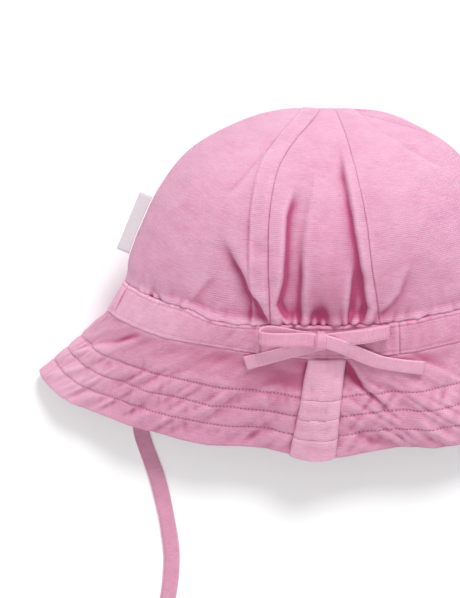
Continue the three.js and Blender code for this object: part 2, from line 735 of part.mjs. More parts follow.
addPiece('crown_panel_back', crownPanel('backLeft', 'backRight', 22, 24), COLOURS.cloth);
addPiece('crown_panel_back_left', crownPanel('sideLeft', 'backLeft', 14, 18, 0.25), COLOURS.cloth);
addPiece('crown_panel_back_right', crownPanel('backRight', 'sideRight', 14, 18, -0.25), COLOURS.cloth);
addPiece('crown_panel_front_left', crownPanel('frontLeft', 'sideLeft', 8, 12, 0.2), COLOURS.cloth);
addPiece('crown_panel_front_right', crownPanel('sideRight', 'frontRight', 8, 18, -0.2), COLOURS.cloth);
addPiece('crown_panel_front', crownPanel('frontRight', 'frontLeftAgain', 7, 11), COLOURS.cloth);
addPiece('head_band', headBand(), COLOURS.band);
addPiece('brim', brim(), COLOURS.cloth);
addPiece('brim_back_strip', brimBackStrip(), COLOURS.cloth);
addPiece('drawstring_bow', fuse(wasm, [...BOW_RIBBONS.map(ribbon), knot()]), COLOURS.tape);
addPiece('chin_tie_left', chinTie(-1), COLOURS.tape);
addPiece('chin_tie_right', chinTie(1), COLOURS.tape);
addPiece('side_tag', sideTag(), COLOURS.tag);

export default group;
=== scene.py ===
"""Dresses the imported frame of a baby's sun hat: cloth, seams, stitches, bow, ties and tag.

Shapes are worked out in millimetres in the frame's own axes and turned into metres as each mesh is made.
The hat lies on its front, with the back of the head upwards. theta is the angle round the head from the
middle of the back. level runs from the tip of the crown (0) over the band (7 to 8) to the edge of the
brim (11).
"""

import bpy
import numpy as np
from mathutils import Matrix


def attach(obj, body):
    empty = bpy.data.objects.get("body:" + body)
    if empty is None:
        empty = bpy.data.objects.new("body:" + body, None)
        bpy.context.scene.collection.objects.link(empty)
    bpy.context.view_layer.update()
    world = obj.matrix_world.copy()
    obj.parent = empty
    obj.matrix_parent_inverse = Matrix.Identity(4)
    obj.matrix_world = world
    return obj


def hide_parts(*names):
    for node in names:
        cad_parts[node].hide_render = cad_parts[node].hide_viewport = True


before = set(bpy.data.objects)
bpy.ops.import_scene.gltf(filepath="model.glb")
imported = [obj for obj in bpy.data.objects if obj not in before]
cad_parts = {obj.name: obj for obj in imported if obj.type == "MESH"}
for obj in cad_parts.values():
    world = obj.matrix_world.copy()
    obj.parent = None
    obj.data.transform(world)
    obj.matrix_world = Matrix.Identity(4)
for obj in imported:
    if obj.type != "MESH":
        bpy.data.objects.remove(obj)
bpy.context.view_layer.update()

MM = 0.001
scene = bpy.context.scene
rng = np.random.default_rng(7)


def table(names, *rows):
    """Rows of numbers under named columns: one array for each name. The first says where its rows lie."""
    return dict(zip(names.split(), np.array(rows, float).T))


# Camera: straight above, at the height and place that the photo was taken from
CAMERA_AT = (-44.0, -23.5, 1400.0)
VIEW_HEIGHT = 287.04
VIEW_PLANE = 40.0
SENSOR = 24.0

# Chin ties: where each tape runs, in mm. The right tie mirrors the left one and spreads a little more.
TIE_WIDTH = 7.8
TIE_WALL = 1.1
TIE_RIGHT_SHIFT = 5.0
TIE_ROUTE = [
    (-81.2, -29, 10.5), (-81.9, -33, 10.2), (-82.6, -37, 8.6), (-83.8, -41, 6.4), (-85, -46, 4.4),
    (-86.4, -53, 3), (-87.6, -63, 2.8), (-88.2, -73, 2.85), (-88.4, -79.5, 2.9), (-88.3, -84.5, 2),
    (-87.6, -90, 1.05), (-85.6, -96.5, 0.85), (-83, -103.5, 0.8), (-80, -112, 0.8), (-77, -123.7, 0.8),
    (-74.6, -135.6, 0.8), (-73, -147.4, 0.8), (-73, -157, 0.8), (-74.2, -168.2, 0.8), (-76.6, -181, 0.8),
    (-80, -194, 0.8), (-84.4, -207, 0.8),
]

# Levels, walls and heights, as in the frame
TIP_LEVEL = 0.03
BAND_TOP = 7.0
BAND_BOTTOM = 8.0
BRIM_EDGE = 11.0
PANEL_WALL = 1.2
BAND_WALL = 2.0
BRIM_WALL = 1.7
BAND_PROUD = 0.6
BAND_HEIGHT = 15.0
BRIM_DEPTH = 53.0
BRIM_SPAN = BRIM_EDGE - BAND_BOTTOM
LEVEL_HEIGHT = 12.5

# Half width of the brim at its middle, which turns an angle round the brim into mm along it
BRIM_RADIUS = 118.0

SECTION_COLUMNS = "level halfWidth sideY sideZ backY backZ frontY frontZ bend soft"
CROWN_SECTIONS = table(
    SECTION_COLUMNS,
    (0, 0, 68.8, 30, 68.8, 30, 68.8, 30, 1.3, 3),
    (1, 25, 67.2, 35, 66.2, 51, 64, 16, 1.3, 4),
    (2, 44, 60.5, 37, 54.5, 67, 51, 2, 1.3, 6),
    (3, 63, 49, 38, 36, 77, 34, -8, 1.3, 7),
    (4, 77, 32, 38, 14, 80.5, 15, -14, 1.3, 7),
    (5, 86.5, 13, 37, -8, 77.5, -4, -18, 1.3, 7),
    (6, 92.5, -3, 35.5, -24, 70.5, -20, -18, 1.3, 7),
    (7, 94.5, -14.5, 34, -36.5, 62.5, -33, -18, 1.2, 7),
    (8, 103, -28.7, 30, -51.8, 56, -48, -18, 1.6, 6),
)
BRIM_SECTIONS = table(
    SECTION_COLUMNS,
    (8, 103, -28.7, 30, -51.8, 56, -48, -18, 1.6, 6),
    (9, 113.5, -38.2, 20, -67, 49.5, -62, -22, 1.5, 5),
    (10, 125.5, -48.4, 12, -83, 40, -77, -26, 1.4, 4),
    (11, 137.5, -58.3, 6, -99.5, 29, -92, -30, 1.35, 2.5),
)
FRONT_BEND = 1.5
TIP_SHIFT_X = 2.6
TIP_SHIFT_LEVELS = 3.5

SEAMS = table(
    "level left right sideRight",
    (0, -20, 20, 46), (0.5, -11.5, 11, 38), (1, -8.5, 9.8, 38), (1.5, -10.4, 10.5, 52), (2, -15.2, 12, 72),
    (2.5, -18.7, 12.8, 84), (3, -20.2, 13.5, 86), (4, -19.4, 14.5, 86), (5, -17.6, 14.8, 86),
    (6, -15.9, 15.6, 86), (7, -15.4, 16.6, 86),
)
SIDE_SEAM_LEFT = -92
FRONT_SEAM_LEFT = -150
FRONT_SEAM_RIGHT = 150

EDGE_DRIFT = table(
    "across bandTop bandBottom brimEdge",
    (-1, 0, 0, 0), (-0.95, 1.1, -0.3, -0.3), (-0.86, 1.1, -0.6, -0.6), (-0.7, 1.4, -0.4, 1.2),
    (-0.56, -2, 1, 1.6), (-0.4, -2, 1.2, 1.6), (-0.2, -0.2, 0.4, 2.2), (-0.06, 0, 0, -0.9),
    (0.05, 0, -0.2, -0.2), (0.2, 0, 0, 2.2), (0.3, -0.4, 0, 3.6), (0.42, -0.4, 0, 0.4),
    (0.6, 0.6, 0.6, -0.6), (0.8, 0, 0, 0.4), (1, 0, 0, 0),
)
DRIFT_START = 5.5
BAND_HOLD = 0.85
HOLD_ABOVE = 0.4
HOLD_BELOW = 0.6

# Folds, each along a line of (x, y) points from its firm end to its free end, where it dies out over taper.
# crest is the proud side, 1 for the line's right and -1 for its left: it rises by rise and settles over
# riseReach, and the other side falls by fall over fallReach. sharp is half the width of the turn.
FOLD_KEYS = ("crest", "rise", "riseReach", "fall", "fallReach", "sharp", "taper", "points")
FOLDS = [dict(zip(FOLD_KEYS, row)) for row in (
    (1, 2.2, 8, 5, 11, 1.7, 22, [(-24.6, -36), (-30.8, -24), (-34.6, -19.3), (-40.7, -6.1), (-48.5, 9.5)]),
    (-1, 1.3, 5, 4.6, 7, 1.3, 13,
     [(-18, -35), (-22, -26.5), (-20.3, -18.3), (-19.3, -4.5), (-18.3, 14.8), (-14.2, 32)]),
    (1, 1.8, 12, 2.5, 4.5, 1.1, 24, [(-10.6, -37), (-10.3, -20), (-10, 0), (-9.6, 11)]),
    (1, 0.9, 4, 0.5, 5, 1.3, 16, [(-10, 6), (-7.6, 18), (-5.8, 30), (-5, 44)]),
    (-1, 1.4, 9, 3.2, 5, 1.3, 17, [(10.8, -37), (11.7, -26), (13.4, -12.7), (12.4, -2)]),
    (1, 1.4, 5, 4.6, 7, 1.2, 20,
     [(18.5, -36.5), (21, -28), (18.4, -11.3), (14.6, 8), (11.6, 27), (8.4, 46), (7.2, 52)]),
    (-1, 1.1, 7, 1.8, 8, 1.6, 22,
     [(24.5, -35), (26.6, -29.7), (31.6, -25.7), (35.5, -21.4), (38.5, -13), (41.5, 0)]),
    (1, 0.9, 5, 2.3, 6, 1.9, 18, [(-40, 30), (-28, 44), (-15, 57)]),
    (1, 0.7, 6, 2.1, 8, 1.8, 18, [(19, 62.9), (22.7, 58.7), (35.9, 49.8), (49.1, 40.9), (64.1, 34.8)]),
    (-1, 0.8, 4, 1, 7, 1.6, 9, [(-65, -26), (-57, -17.5), (-50, -9)]),
    (-1, 1.6, 8, 2.2, 7, 0.9, 26,
     [(10.5, -50.5), (15, -57.5), (20, -66), (28, -71.5), (36, -77.5), (43, -84.5)]),
    (1, 1.2, 8, 1.3, 6, 1.6, 14, [(46, -51.5), (54, -55.5), (68, -61.5)]),
    (1, 1.6, 8, 1.8, 7, 1.5, 16, [(-112, -46.8), (-96, -44), (-80, -40.5)]),
    (1, 1.2, 6, 1.4, 5, 1.4, 12, [(-124, -58.2), (-115, -56.5), (-99, -51.6)]),
)]
FOLD_FADE = 9.0

SWELLS = table(
    "x y radiusX radiusY height",
    (1, -8, 13, 26, 2.6),
    (-1.5, -33, 5, 6, -3.4),
    (-50, -20, 16, 18, -1.6),
    (50, -14, 16, 18, -1.6),
    (58, -84, 26, 16, 4),
    (-20, -62, 10, 9, -2.6),
    (16, -60, 6, 9, -1.6),
)
RUFFLES = table("count phase height", (9, 0.4, 0.9), (17, 1.9, 0.6))
UNEVEN = table("size seed height", (14, 1, 0.35), (5, 2, 0.14))

# Gathers just above the band: place along it, lean to the right per mm upwards, length, depth and half width
GATHERS = table(
    "x lean length depth width",
    (-82.5, 0.4, 5, 1, 1.2), (-77, -0.7, 4, 1, 1.1), (-69, 0.7, 5, 0.8, 1.2), (-59, 0.4, 4, 0.6, 1.3),
    (-48, 0.5, 5, 0.7, 1.3), (-36, 0.3, 6, 0.7, 1.3), (-18.6, -0.3, 9, 1.5, 1.1),
    (-15, 0.1, 6, 0.9, 0.8), (-11.4, 0.1, 10, 1.5, 0.9), (-6.2, 0.25, 8, 1.8, 1),
    (-2.2, 0.1, 9, 2.4, 1.3), (1.9, -0.2, 8, 1.9, 1), (3.7, -0.2, 5, 0.7, 0.8),
    (9.1, -0.1, 8, 1.2, 0.9), (12.1, 0.2, 11, 1.6, 1), (16.9, 0.5, 9, 1.2, 0.9),
    (18.8, 0.2, 5, 0.8, 0.8), (23.5, 0.3, 8, 1.2, 1), (33, 0.4, 5, 0.8, 1.2), (41, -0.4, 4, 0.6, 1.2),
    (50, 0.5, 5, 0.7, 1.3), (63, -0.3, 4, 0.7, 1.3),
)

STRIP_ROWS = table(
    "level left right",
    (8.05, -5.4, 9.6), (8.6, -7.2, 8.8), (9.25, -8.7, 7.9), (9.8, -10.2, 7), (10.4, -12.2, 6.5),
    (10.97, -14, 5.7),
)
STRIP_END = 10.985
STRIP_WALL = 1.3
STRIP_GAP = 0.45

# Rows of stitching, as parts of the way down the brim, and the angle from one stitch to the next
STITCH_ROWS = (0.42, 0.61, 0.80)
STITCH_ANGLE = 1.75 / BRIM_RADIUS

TAPE_WIDTH = 6.8
TAPE_WALL = 1.0

# Loops and tails of the bow: whether one lies flat, its steps, and its path as x, y and lift over the band
BOW_RIBBONS = [
    (False, 90, [
        (-0.8, -41.8, 4), (-9, -40, 6), (-17, -39.6, 7.4), (-24, -39.3, 7.6), (-28.2, -39.1, 6.4),
        (-29.2, -38.6, 4.8), (-28, -38.1, 3.2), (-24, -38, 2.4), (-17, -39.2, 2.3), (-12.5, -40.2, 2.3),
        (-6, -41.2, 2.4), (-0.8, -42.2, 2.6),
    ]),
    (False, 90, [
        (-0.8, -41.2, 4.6), (9, -40, 5), (18, -39.1, 4.9), (26, -37.8, 4.5), (29.6, -37.4, 4),
        (30.7, -37.6, 3), (29.6, -37.9, 2.2), (26, -38.5, 1.9), (16, -40.1, 1.8), (-0.8, -42.3, 2.4),
    ]),
    (True, 50, [
        (-0.8, -43.6, 1.8), (-10, -46.2, 1.3), (-19.5, -48.9, 1.3), (-28, -51.2, 1.3),
        (-36.5, -53.4, 1.3),
    ]),
    (True, 70, [
        (-0.8, -40.4, 6), (6, -42.7, 6.2), (12, -45.5, 5.2), (19, -49.3, 3), (27, -52.6, 1.6),
        (37, -54.4, 1.3), (48, -55.8, 1.3),
    ]),
]
TAIL_HEM = 6.5
KNOT = {"x": -1.1, "y": -41.3, "lift": 4.4, "size": (6, 9, 7.4)}
TAG = {"start": 4.35, "end": 5.92, "width": 7, "gap": 0.45, "wall": 0.8}


# Arithmetic on arrays


def smooth(t):
    t = np.clip(t, 0, 1)
    return t * t * (3 - 2 * t)


def lerp(a, b, t):
    return a + (b - a) * t


def bell(x, width, power=2):
    """1 where x is 0, falling away to both sides over width."""
    return np.exp(-((x / width) ** power))


def unit(v):
    return v / np.maximum(np.linalg.norm(v, axis=-1, keepdims=True), 1e-9)


def stacked(*columns):
    return np.stack(np.broadcast_arrays(*columns), -1)


def run_length(points):
    """Length along rows of points, from the first row."""
    steps = np.linalg.norm(np.diff(points, axis=0), axis=-1)
    return np.concatenate([np.zeros_like(steps[:1]), np.cumsum(steps, 0)])


def rows_of(columns):
    return zip(*columns.values())


def sample(rows, column, at):
    """Smooth value of one column of a table at places between its rows."""
    keys, values = next(iter(rows.values())), rows[column]
    i = np.clip(np.searchsorted(keys, at, side="right") - 1, 0, len(keys) - 2)
    before, after = np.maximum(i - 1, 0), np.minimum(i + 2, len(keys) - 1)
    span = keys[i + 1] - keys[i]
    t = np.clip((at - keys[i]) / span, 0, 1)
    slope_a = (values[i + 1] - values[before]) / (keys[i + 1] - keys[before]) * span
    slope_b = (values[after] - values[i]) / (keys[after] - keys[i]) * span
    t2, t3 = t * t, t * t * t
    return (
        (2 * t3 - 3 * t2 + 1) * values[i] + (t3 - 2 * t2 + t) * slope_a
        + (3 * t2 - 2 * t3) * values[i + 1] + (t3 - t2) * slope_b
    )


NOISE = rng.random((64, 64, 64))


def noise(u, v, w=0.0):
    """Smooth noise from -1 to 1, with features about one unit across."""
    p = stacked(u, v, w)
    low = np.floor(p).astype(int)
    f = p - low
    f = f * f * (3 - 2 * f)
    total = 0
    for corner in np.ndindex(2, 2, 2):
        weight = np.prod(np.where(np.array(corner) > 0, f, 1 - f), -1)
        i, j, k = np.moveaxis((low + corner) % 64, -1, 0)
        total = total + weight * NOISE[i, j, k]
    return 2 * total - 1


def blur(a, turns):
    for _ in range(turns):
        p = np.pad(a, 1, mode="edge")
        a = (p[:-2, 1:-1] + 2 * p[1:-1, 1:-1] + p[2:, 1:-1]) / 4
        p = np.pad(a, 1, mode="edge")
        a = (p[1:-1, :-2] + 2 * p[1:-1, 1:-1] + p[1:-1, 2:]) / 4
    return a


# The shape of the cloth, as in the frame, with finer folds


def on_floor(z, soft):
    return np.where(z <= -soft, 0, np.where(z >= soft, z, (z + soft) ** 2 / (4 * soft)))


def edge_drift(across, level):
    band_top, band_bottom, brim_edge = (sample(EDGE_DRIFT, name, across) for name in list(EDGE_DRIFT)[1:])
    above = band_top * smooth((level - DRIFT_START) / (BAND_TOP - DRIFT_START))
    below = lerp(band_bottom, brim_edge, (level - BAND_BOTTOM) / BRIM_SPAN)
    band = lerp(band_top, band_bottom, level - BAND_TOP)
    return np.where(level <= BAND_TOP, above, np.where(level <= BAND_BOTTOM, band, below))


def smooth_point(theta, level):
    """Point of the smooth hat, without folds."""
    theta, level = np.broadcast_arrays(np.asarray(theta, float), np.asarray(level, float))

    def column(name):
        crown = sample(CROWN_SECTIONS, name, level)
        return np.where(level <= BAND_BOTTOM, crown, sample(BRIM_SECTIONS, name, level))

    across, facing = np.sin(theta), np.cos(theta)
    back, front = np.maximum(facing, 0), np.maximum(-facing, 0)
    tip_shift = TIP_SHIFT_X * (1 - smooth(level / TIP_SHIFT_LEVELS))
    x = tip_shift + column("halfWidth") * across
    side_y, side_z = column("sideY"), column("sideZ")
    back_y = lerp(side_y, column("backY"), back ** column("bend")) + edge_drift(across, level)
    front_y = lerp(side_y, column("frontY"), front ** FRONT_BEND)
    front_z = on_floor(lerp(side_z, column("frontZ"), front), column("soft"))
    y = np.where(facing >= 0, back_y, front_y)
    z = np.where(facing >= 0, lerp(side_z, column("backZ"), back), front_z)
    return np.stack([x, y, z], -1)


def line_distance(points, x, y):
    """Distance from a line, positive on its right, the way past its ends, and how much of it is left."""
    best = np.full(np.shape(x), np.inf)
    signed, past, place = np.zeros_like(best), np.zeros_like(best), np.zeros_like(best)
    done = 0.0
    for (ax, ay), (bx, by) in zip(points[:-1], points[1:]):
        dx, dy = bx - ax, by - ay
        length = np.hypot(dx, dy)
        along = ((x - ax) * dx + (y - ay) * dy) / length
        inside = np.clip(along, 0, length)
        away = np.hypot(x - ax - dx * inside / length, y - ay - dy * inside / length)
        near = away < best
        best = np.where(near, away, best)
        signed = np.where(near, ((x - ax) * dy - (y - ay) * dx) / length, signed)
        past = np.where(near, np.abs(along - inside), past)
        place = np.where(near, done + inside, place)
        done += length
    return signed, past, done - place


def beside_fold(fold, x, y):
    """Distance from a fold's line, positive on its proud side, how firm it is and how much of it is there."""
    signed, past, left = line_distance(fold["points"], x, y)
    side = (signed + 0.45 * noise(x / 7, y / 7, 12.0)) * fold["crest"]
    firm = smooth(left / fold["taper"])
    return side, firm, bell(past, FOLD_FADE) * firm


def fold_height(fold, x, y):
    side, firm, fade = beside_fold(fold, x, y)
    step = np.tanh(side / (fold["sharp"] * (1.7 - 0.7 * firm)))
    up = fold["rise"] * np.exp(-np.abs(side) / fold["riseReach"])
    down = fold["fall"] * np.exp(-np.abs(side) / fold["fallReach"])
    return fade * step * np.where(side > 0, up, down)


# Painted shade at the foot of a fold: how far it lies past the line, and its reach towards the line and away
# from it
FOOT_AT = 1.0
FOOT_NEAR = 0.6
FOOT_FAR = 2.4


def fold_shade(points):
    """Painted shade along the foot of each fold, where the cloth is most shaded."""
    x, y = points[..., 0], points[..., 1]
    dark = np.zeros_like(x)
    for fold in FOLDS:
        side, _, fade = beside_fold(fold, x, y)
        foot = np.exp(-np.abs(side + FOOT_AT) / np.where(side > -FOOT_AT, FOOT_NEAR, FOOT_FAR))
        dark = dark + fade * min(fold["fall"] / 4 / max(fold["sharp"], 1), 1) * foot
    return dark * (points[..., 2] > 20)


def gather_height(theta, level, x):
    """Creases that run up into the crown from the seam of the band."""
    above = np.maximum(BAND_TOP - level, 0) * LEVEL_HEIGHT
    height = np.zeros_like(x)
    for gather_x, lean, length, depth, width in rows_of(GATHERS):
        off = x - gather_x - lean * above
        height -= depth * bell(off, width * (1 + 0.12 * above)) * bell(above, length)
    puff = 1.2 * bell(x - 2, 24, 4) * bell(above - 2.4, 2.6)
    puff = puff + 0.45 * bell(above - 1.6, 1.6)
    side = 1 - bell(x - 2, 28, 4)
    ripple = noise(theta * 18, above * 0.12, 3.0) + 0.5 * noise(theta * 40, above * 0.2, 9.0)
    return height + puff + 0.8 * side * ripple * np.exp(-above / 4.5)


def relief(theta, level, x, y):
    """Height of all folds, swells, gathers and ruffles over the smooth hat."""
    facing = np.cos(theta)
    height = sum(fold_height(fold, x, y) for fold in FOLDS)
    for swell_x, swell_y, radius_x, radius_y, h in rows_of(SWELLS):
        height += h * bell(x - swell_x, radius_x) * bell(y - swell_y, radius_y)
    held = np.where(
        level < BAND_BOTTOM,
        smooth((level - BAND_TOP) / HOLD_ABOVE + 1),
        1 - smooth((level - BAND_BOTTOM) / HOLD_BELOW),
    )
    height = height * (1 - BAND_HOLD * held)
    height += np.where(level < BAND_TOP, gather_height(theta, level, x), 0)
    out = np.maximum(level - BAND_BOTTOM, 0) / BRIM_SPAN
    for count, phase, h in rows_of(RUFFLES):
        height += out * h * np.sin(theta * count + phase)
    uneven = sum(h * noise(x / size, y / size, seed) for size, seed, h in rows_of(UNEVEN))
    height += uneven * np.where((level > BAND_TOP) & (level < BAND_BOTTOM), 0.3, 1)
    return np.where(facing > 0, height * smooth(facing / 0.35), 0)


def slopes(points, wrap=False):
    """Outward normals of grids of points whose rows run round the hat and columns down it."""
    if wrap:
        points = np.concatenate([points[-2:], points, points[:2]])
    normal = unit(np.cross(np.gradient(points, axis=-2), np.gradient(points, axis=-3)))
    return normal[2:-2] if wrap else normal


def cloth(theta, level, extra=0.0, wrap=False):
    """Points, normals and relief of the cloth over a grid. extra is height to add, in mm."""
    base = smooth_point(theta, level)
    height = relief(theta, level, base[..., 0], base[..., 1]) + extra
    points = base + slopes(base, wrap) * height[..., None]
    return points, slopes(points, wrap), height


def shifted(points, normals, offset):
    moved = points + normals * np.asarray(offset)[..., None]
    moved[..., 2] = np.maximum(moved[..., 2], 0)
    return moved


THETA_STEP = 0.004
LEVEL_STEP = 0.01


def single_point(theta, level):
    """The folded cloth at loose places, which form no grid: its points, its normals and the smooth hat's."""
    near = np.array([-1, 0, 1])
    grid = np.broadcast_arrays(
        theta[..., None, None] + THETA_STEP * near[:, None], level[..., None, None] + LEVEL_STEP * near
    )
    points, normals, _ = cloth(*grid)
    return [a[..., 1, 1, :] for a in (points, normals, slopes(smooth_point(*grid)))]


def find_on_back(x, y):
    """theta and level of the cloth seen from above at places on the back."""
    theta = np.arcsin(np.clip(x / 110, -0.9, 0.9))
    level = np.where(y > -52, 7.5, 9.0)
    for _ in range(24):
        here = single_point(theta, level)[0]
        by_theta = (single_point(theta + THETA_STEP, level)[0] - here) / THETA_STEP
        by_level = (single_point(theta, level + LEVEL_STEP)[0] - here) / LEVEL_STEP
        det = by_theta[..., 0] * by_level[..., 1] - by_theta[..., 1] * by_level[..., 0]
        miss_x, miss_y = x - here[..., 0], y - here[..., 1]
        theta = theta + np.clip((miss_x * by_level[..., 1] - miss_y * by_level[..., 0]) / det, -0.2, 0.2)
        level = level + np.clip((miss_y * by_theta[..., 0] - miss_x * by_theta[..., 1]) / det, -0.5, 0.5)
        level = np.clip(level, 0.5, BRIM_EDGE - 0.02)
    return theta, level


def shade(height, fine, reach=0.7, broad=60, broad_reach=2.4):
    """Painted shade in hollows and painted highlight on crests, from -1 to 1, by how sunk the cloth lies
    below what is round it.
    """
    near = np.clip((blur(height, fine) - height) / reach, -1, 1)
    far = np.clip((blur(height, broad) - height) / broad_reach, -1, 1)
    return near * 0.55 + far * 0.75


# Meshes


def grid_faces(n, m, start=0, wrap_n=False, wrap_m=False, flip=False):
    i, j = np.meshgrid(np.arange(n if wrap_n else n - 1), np.arange(m if wrap_m else m - 1), indexing="ij")
    i2, j2 = (i + 1) % n, (j + 1) % m
    quads = np.stack([i * m + j, i * m + j2, i2 * m + j2, i2 * m + j], -1).reshape(-1, 4) + start
    return quads[:, ::-1] if flip else quads


def join(parts):
    """Several parts as one. Each is its points, faces, place on the cloth and painted shading."""
    start, out = 0, []
    for points, faces, uv, painted_shading_and_seams in parts:
        out.append((points, faces + start, uv, painted_shading_and_seams))
        start += len(points)
    return [np.concatenate(list(column)) for column in zip(*out)]


def new_object(name, data):
    made = bpy.data.objects.new(name, data)
    scene.collection.objects.link(made)
    return made


def make_piece(name, parts, material, nodes=()):
    points, faces, uv, painted_shading_and_seams = join(parts)
    mesh = bpy.data.meshes.new(name)
    mesh.from_pydata((points * MM).tolist(), [], faces.tolist())
    corners = np.empty(len(mesh.loops), int)
    mesh.loops.foreach_get("vertex_index", corners)
    mesh.uv_layers.new(name="Cloth").uv.foreach_set("vector", uv[corners].astype(np.float32).ravel())
    # Point attribute of painted shade, painted highlight and dark seam lines, for the material to mix into
    # the colour
    mesh.attributes.new("painted_shading_and_seams", "FLOAT", "POINT").data.foreach_set("value", painted_shading_and_seams.astype(np.float32))
    mesh.polygons.foreach_set("use_smooth", np.ones(len(mesh.polygons), bool))
    mesh.materials.append(material)
    mesh.update()
    piece = new_object(name, mesh)
    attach(piece, "root")
    if nodes:
        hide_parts(*nodes)
    return piece


def cloth_map(u, v):
    """Place on the cloth in cm, from mm along and down it."""
    return stacked(u, v) / 10


def shell(outer, inner, uv, painted_shading_and_seams):
    """A closed piece of cloth between two grids of points."""
    n, m = outer.shape[:2]
    count = n * m
    faces = [grid_faces(n, m), grid_faces(n, m, start=count, flip=True)]
    columns, rows = np.arange(n - 1), np.arange(m - 1)
    top = np.stack([columns * m, (columns + 1) * m, (columns + 1) * m + count, columns * m + count], -1)
    last = columns * m + m - 1
    bottom = np.stack([last + m, last, last + count, last + m + count], -1)
    left = np.stack([rows + 1, rows, rows + count, rows + 1 + count], -1)
    end = rows + (n - 1) * m
    right = np.stack([end, end + 1, end + 1 + count, end + count], -1)
    points = np.concatenate([outer.reshape(-1, 3), inner.reshape(-1, 3)])
    both_uv = np.concatenate([uv.reshape(-1, 2)] * 2)
    both_crease = np.concatenate([painted_shading_and_seams.ravel(), np.zeros(count)])
    return points, np.concatenate([*faces, top, bottom, left, right]), both_uv, both_crease


def tube(points, uv, painted_shading_and_seams=None, wrap_n=False):
    """A closed skin over a grid whose second direction goes round. Open ends are capped."""
    n, m = points.shape[:2]
    faces = [grid_faces(n, m, wrap_n=wrap_n, wrap_m=True)]
    if not wrap_n:
        half = np.arange(m // 2 - 1)
        for first, turn in ((0, 1), ((n - 1) * m, -1)):
            cap = np.stack([half, m - 1 - half, m - 2 - half, half + 1], -1) + first
            faces.append(cap[:, ::turn])
    flat = np.zeros(n * m) if painted_shading_and_seams is None else painted_shading_and_seams.ravel()
    return points.reshape(-1, 3), np.concatenate(faces), uv.reshape(-1, 2), flat


def curve_points(points, count):
    """count places along a smooth curve through points, and the direction of the curve at each."""
    points = np.asarray(points, float)
    knots = np.concatenate([[0], np.cumsum(np.sqrt(np.linalg.norm(np.diff(points, axis=0), axis=1)))])
    rows = {"t": knots, **{str(i): points[:, i] for i in range(points.shape[1])}}

    def at(t):
        return np.stack([sample(rows, str(i), t) for i in range(points.shape[1])], -1)

    fine = np.linspace(0, knots[-1], 40 * len(points))
    length = run_length(at(fine))
    places = at(np.interp(np.linspace(0, length[-1], count), length, fine))
    return places, unit(np.gradient(places, axis=0)), np.linspace(0, length[-1], count)


# Materials


class Nodes:
    """Short calls for building a material's nodes."""

    def __init__(self, name):
        self.material = bpy.data.materials.new(name)
        self.material.use_nodes = True
        self.tree = self.material.node_tree
        self.shader = self.tree.nodes["Principled BSDF"]

    def fill(self, node, inputs):
        for key, value in inputs.items():
            if isinstance(value, bpy.types.NodeSocket):
                self.tree.links.new(value, node.inputs[key])
            else:
                node.inputs[key].default_value = value

    def add(self, kind, inputs, **settings):
        node = self.tree.nodes.new("ShaderNode" + kind)
        for key, value in settings.items():
            setattr(node, key, value)
        self.fill(node, inputs)
        return node

    def math(self, operation, *values):
        return self.add("Math", dict(enumerate(values)), operation=operation).outputs[0]

    def weighted(self, base, *parts):
        """base with each value times its weight added to it."""
        for value, weight in parts:
            base = self.math("MULTIPLY_ADD", value, weight, base)
        return base

    def mix(self, amount, first, second):
        return self.add("Mix", {0: amount, 6: first, 7: second}, data_type="RGBA").outputs[2]


def rgb(screen):
    """Linear colour from 0 to 255 screen values."""
    c = np.array(screen) / 255
    linear = np.where(c <= 0.04045, c / 12.92, ((c + 0.055) / 1.055) ** 2.4)
    return (*linear, 1.0)


# Patches in the weave: how many to a cm along and down the cloth, their detail and their seed
BLOTCH = (0.7, 0.9, 4.0, 1.0)
SLUB = (2.2, 13.0, 2.0, 5.0)
YARN = (24.0, 9.0, 1.0, 9.0)
RIB_STRENGTH = (1.1, 2.2, 1.0, 13.0)
# Pale pink mixed into the cloth as a painted highlight
PAINTED_HIGHLIGHT_COLOUR = (1, 0.68, 0.82, 1)
SHEEN_TINT = (1.0, 0.9, 0.95, 1.0)
MM_IN_CM = 10


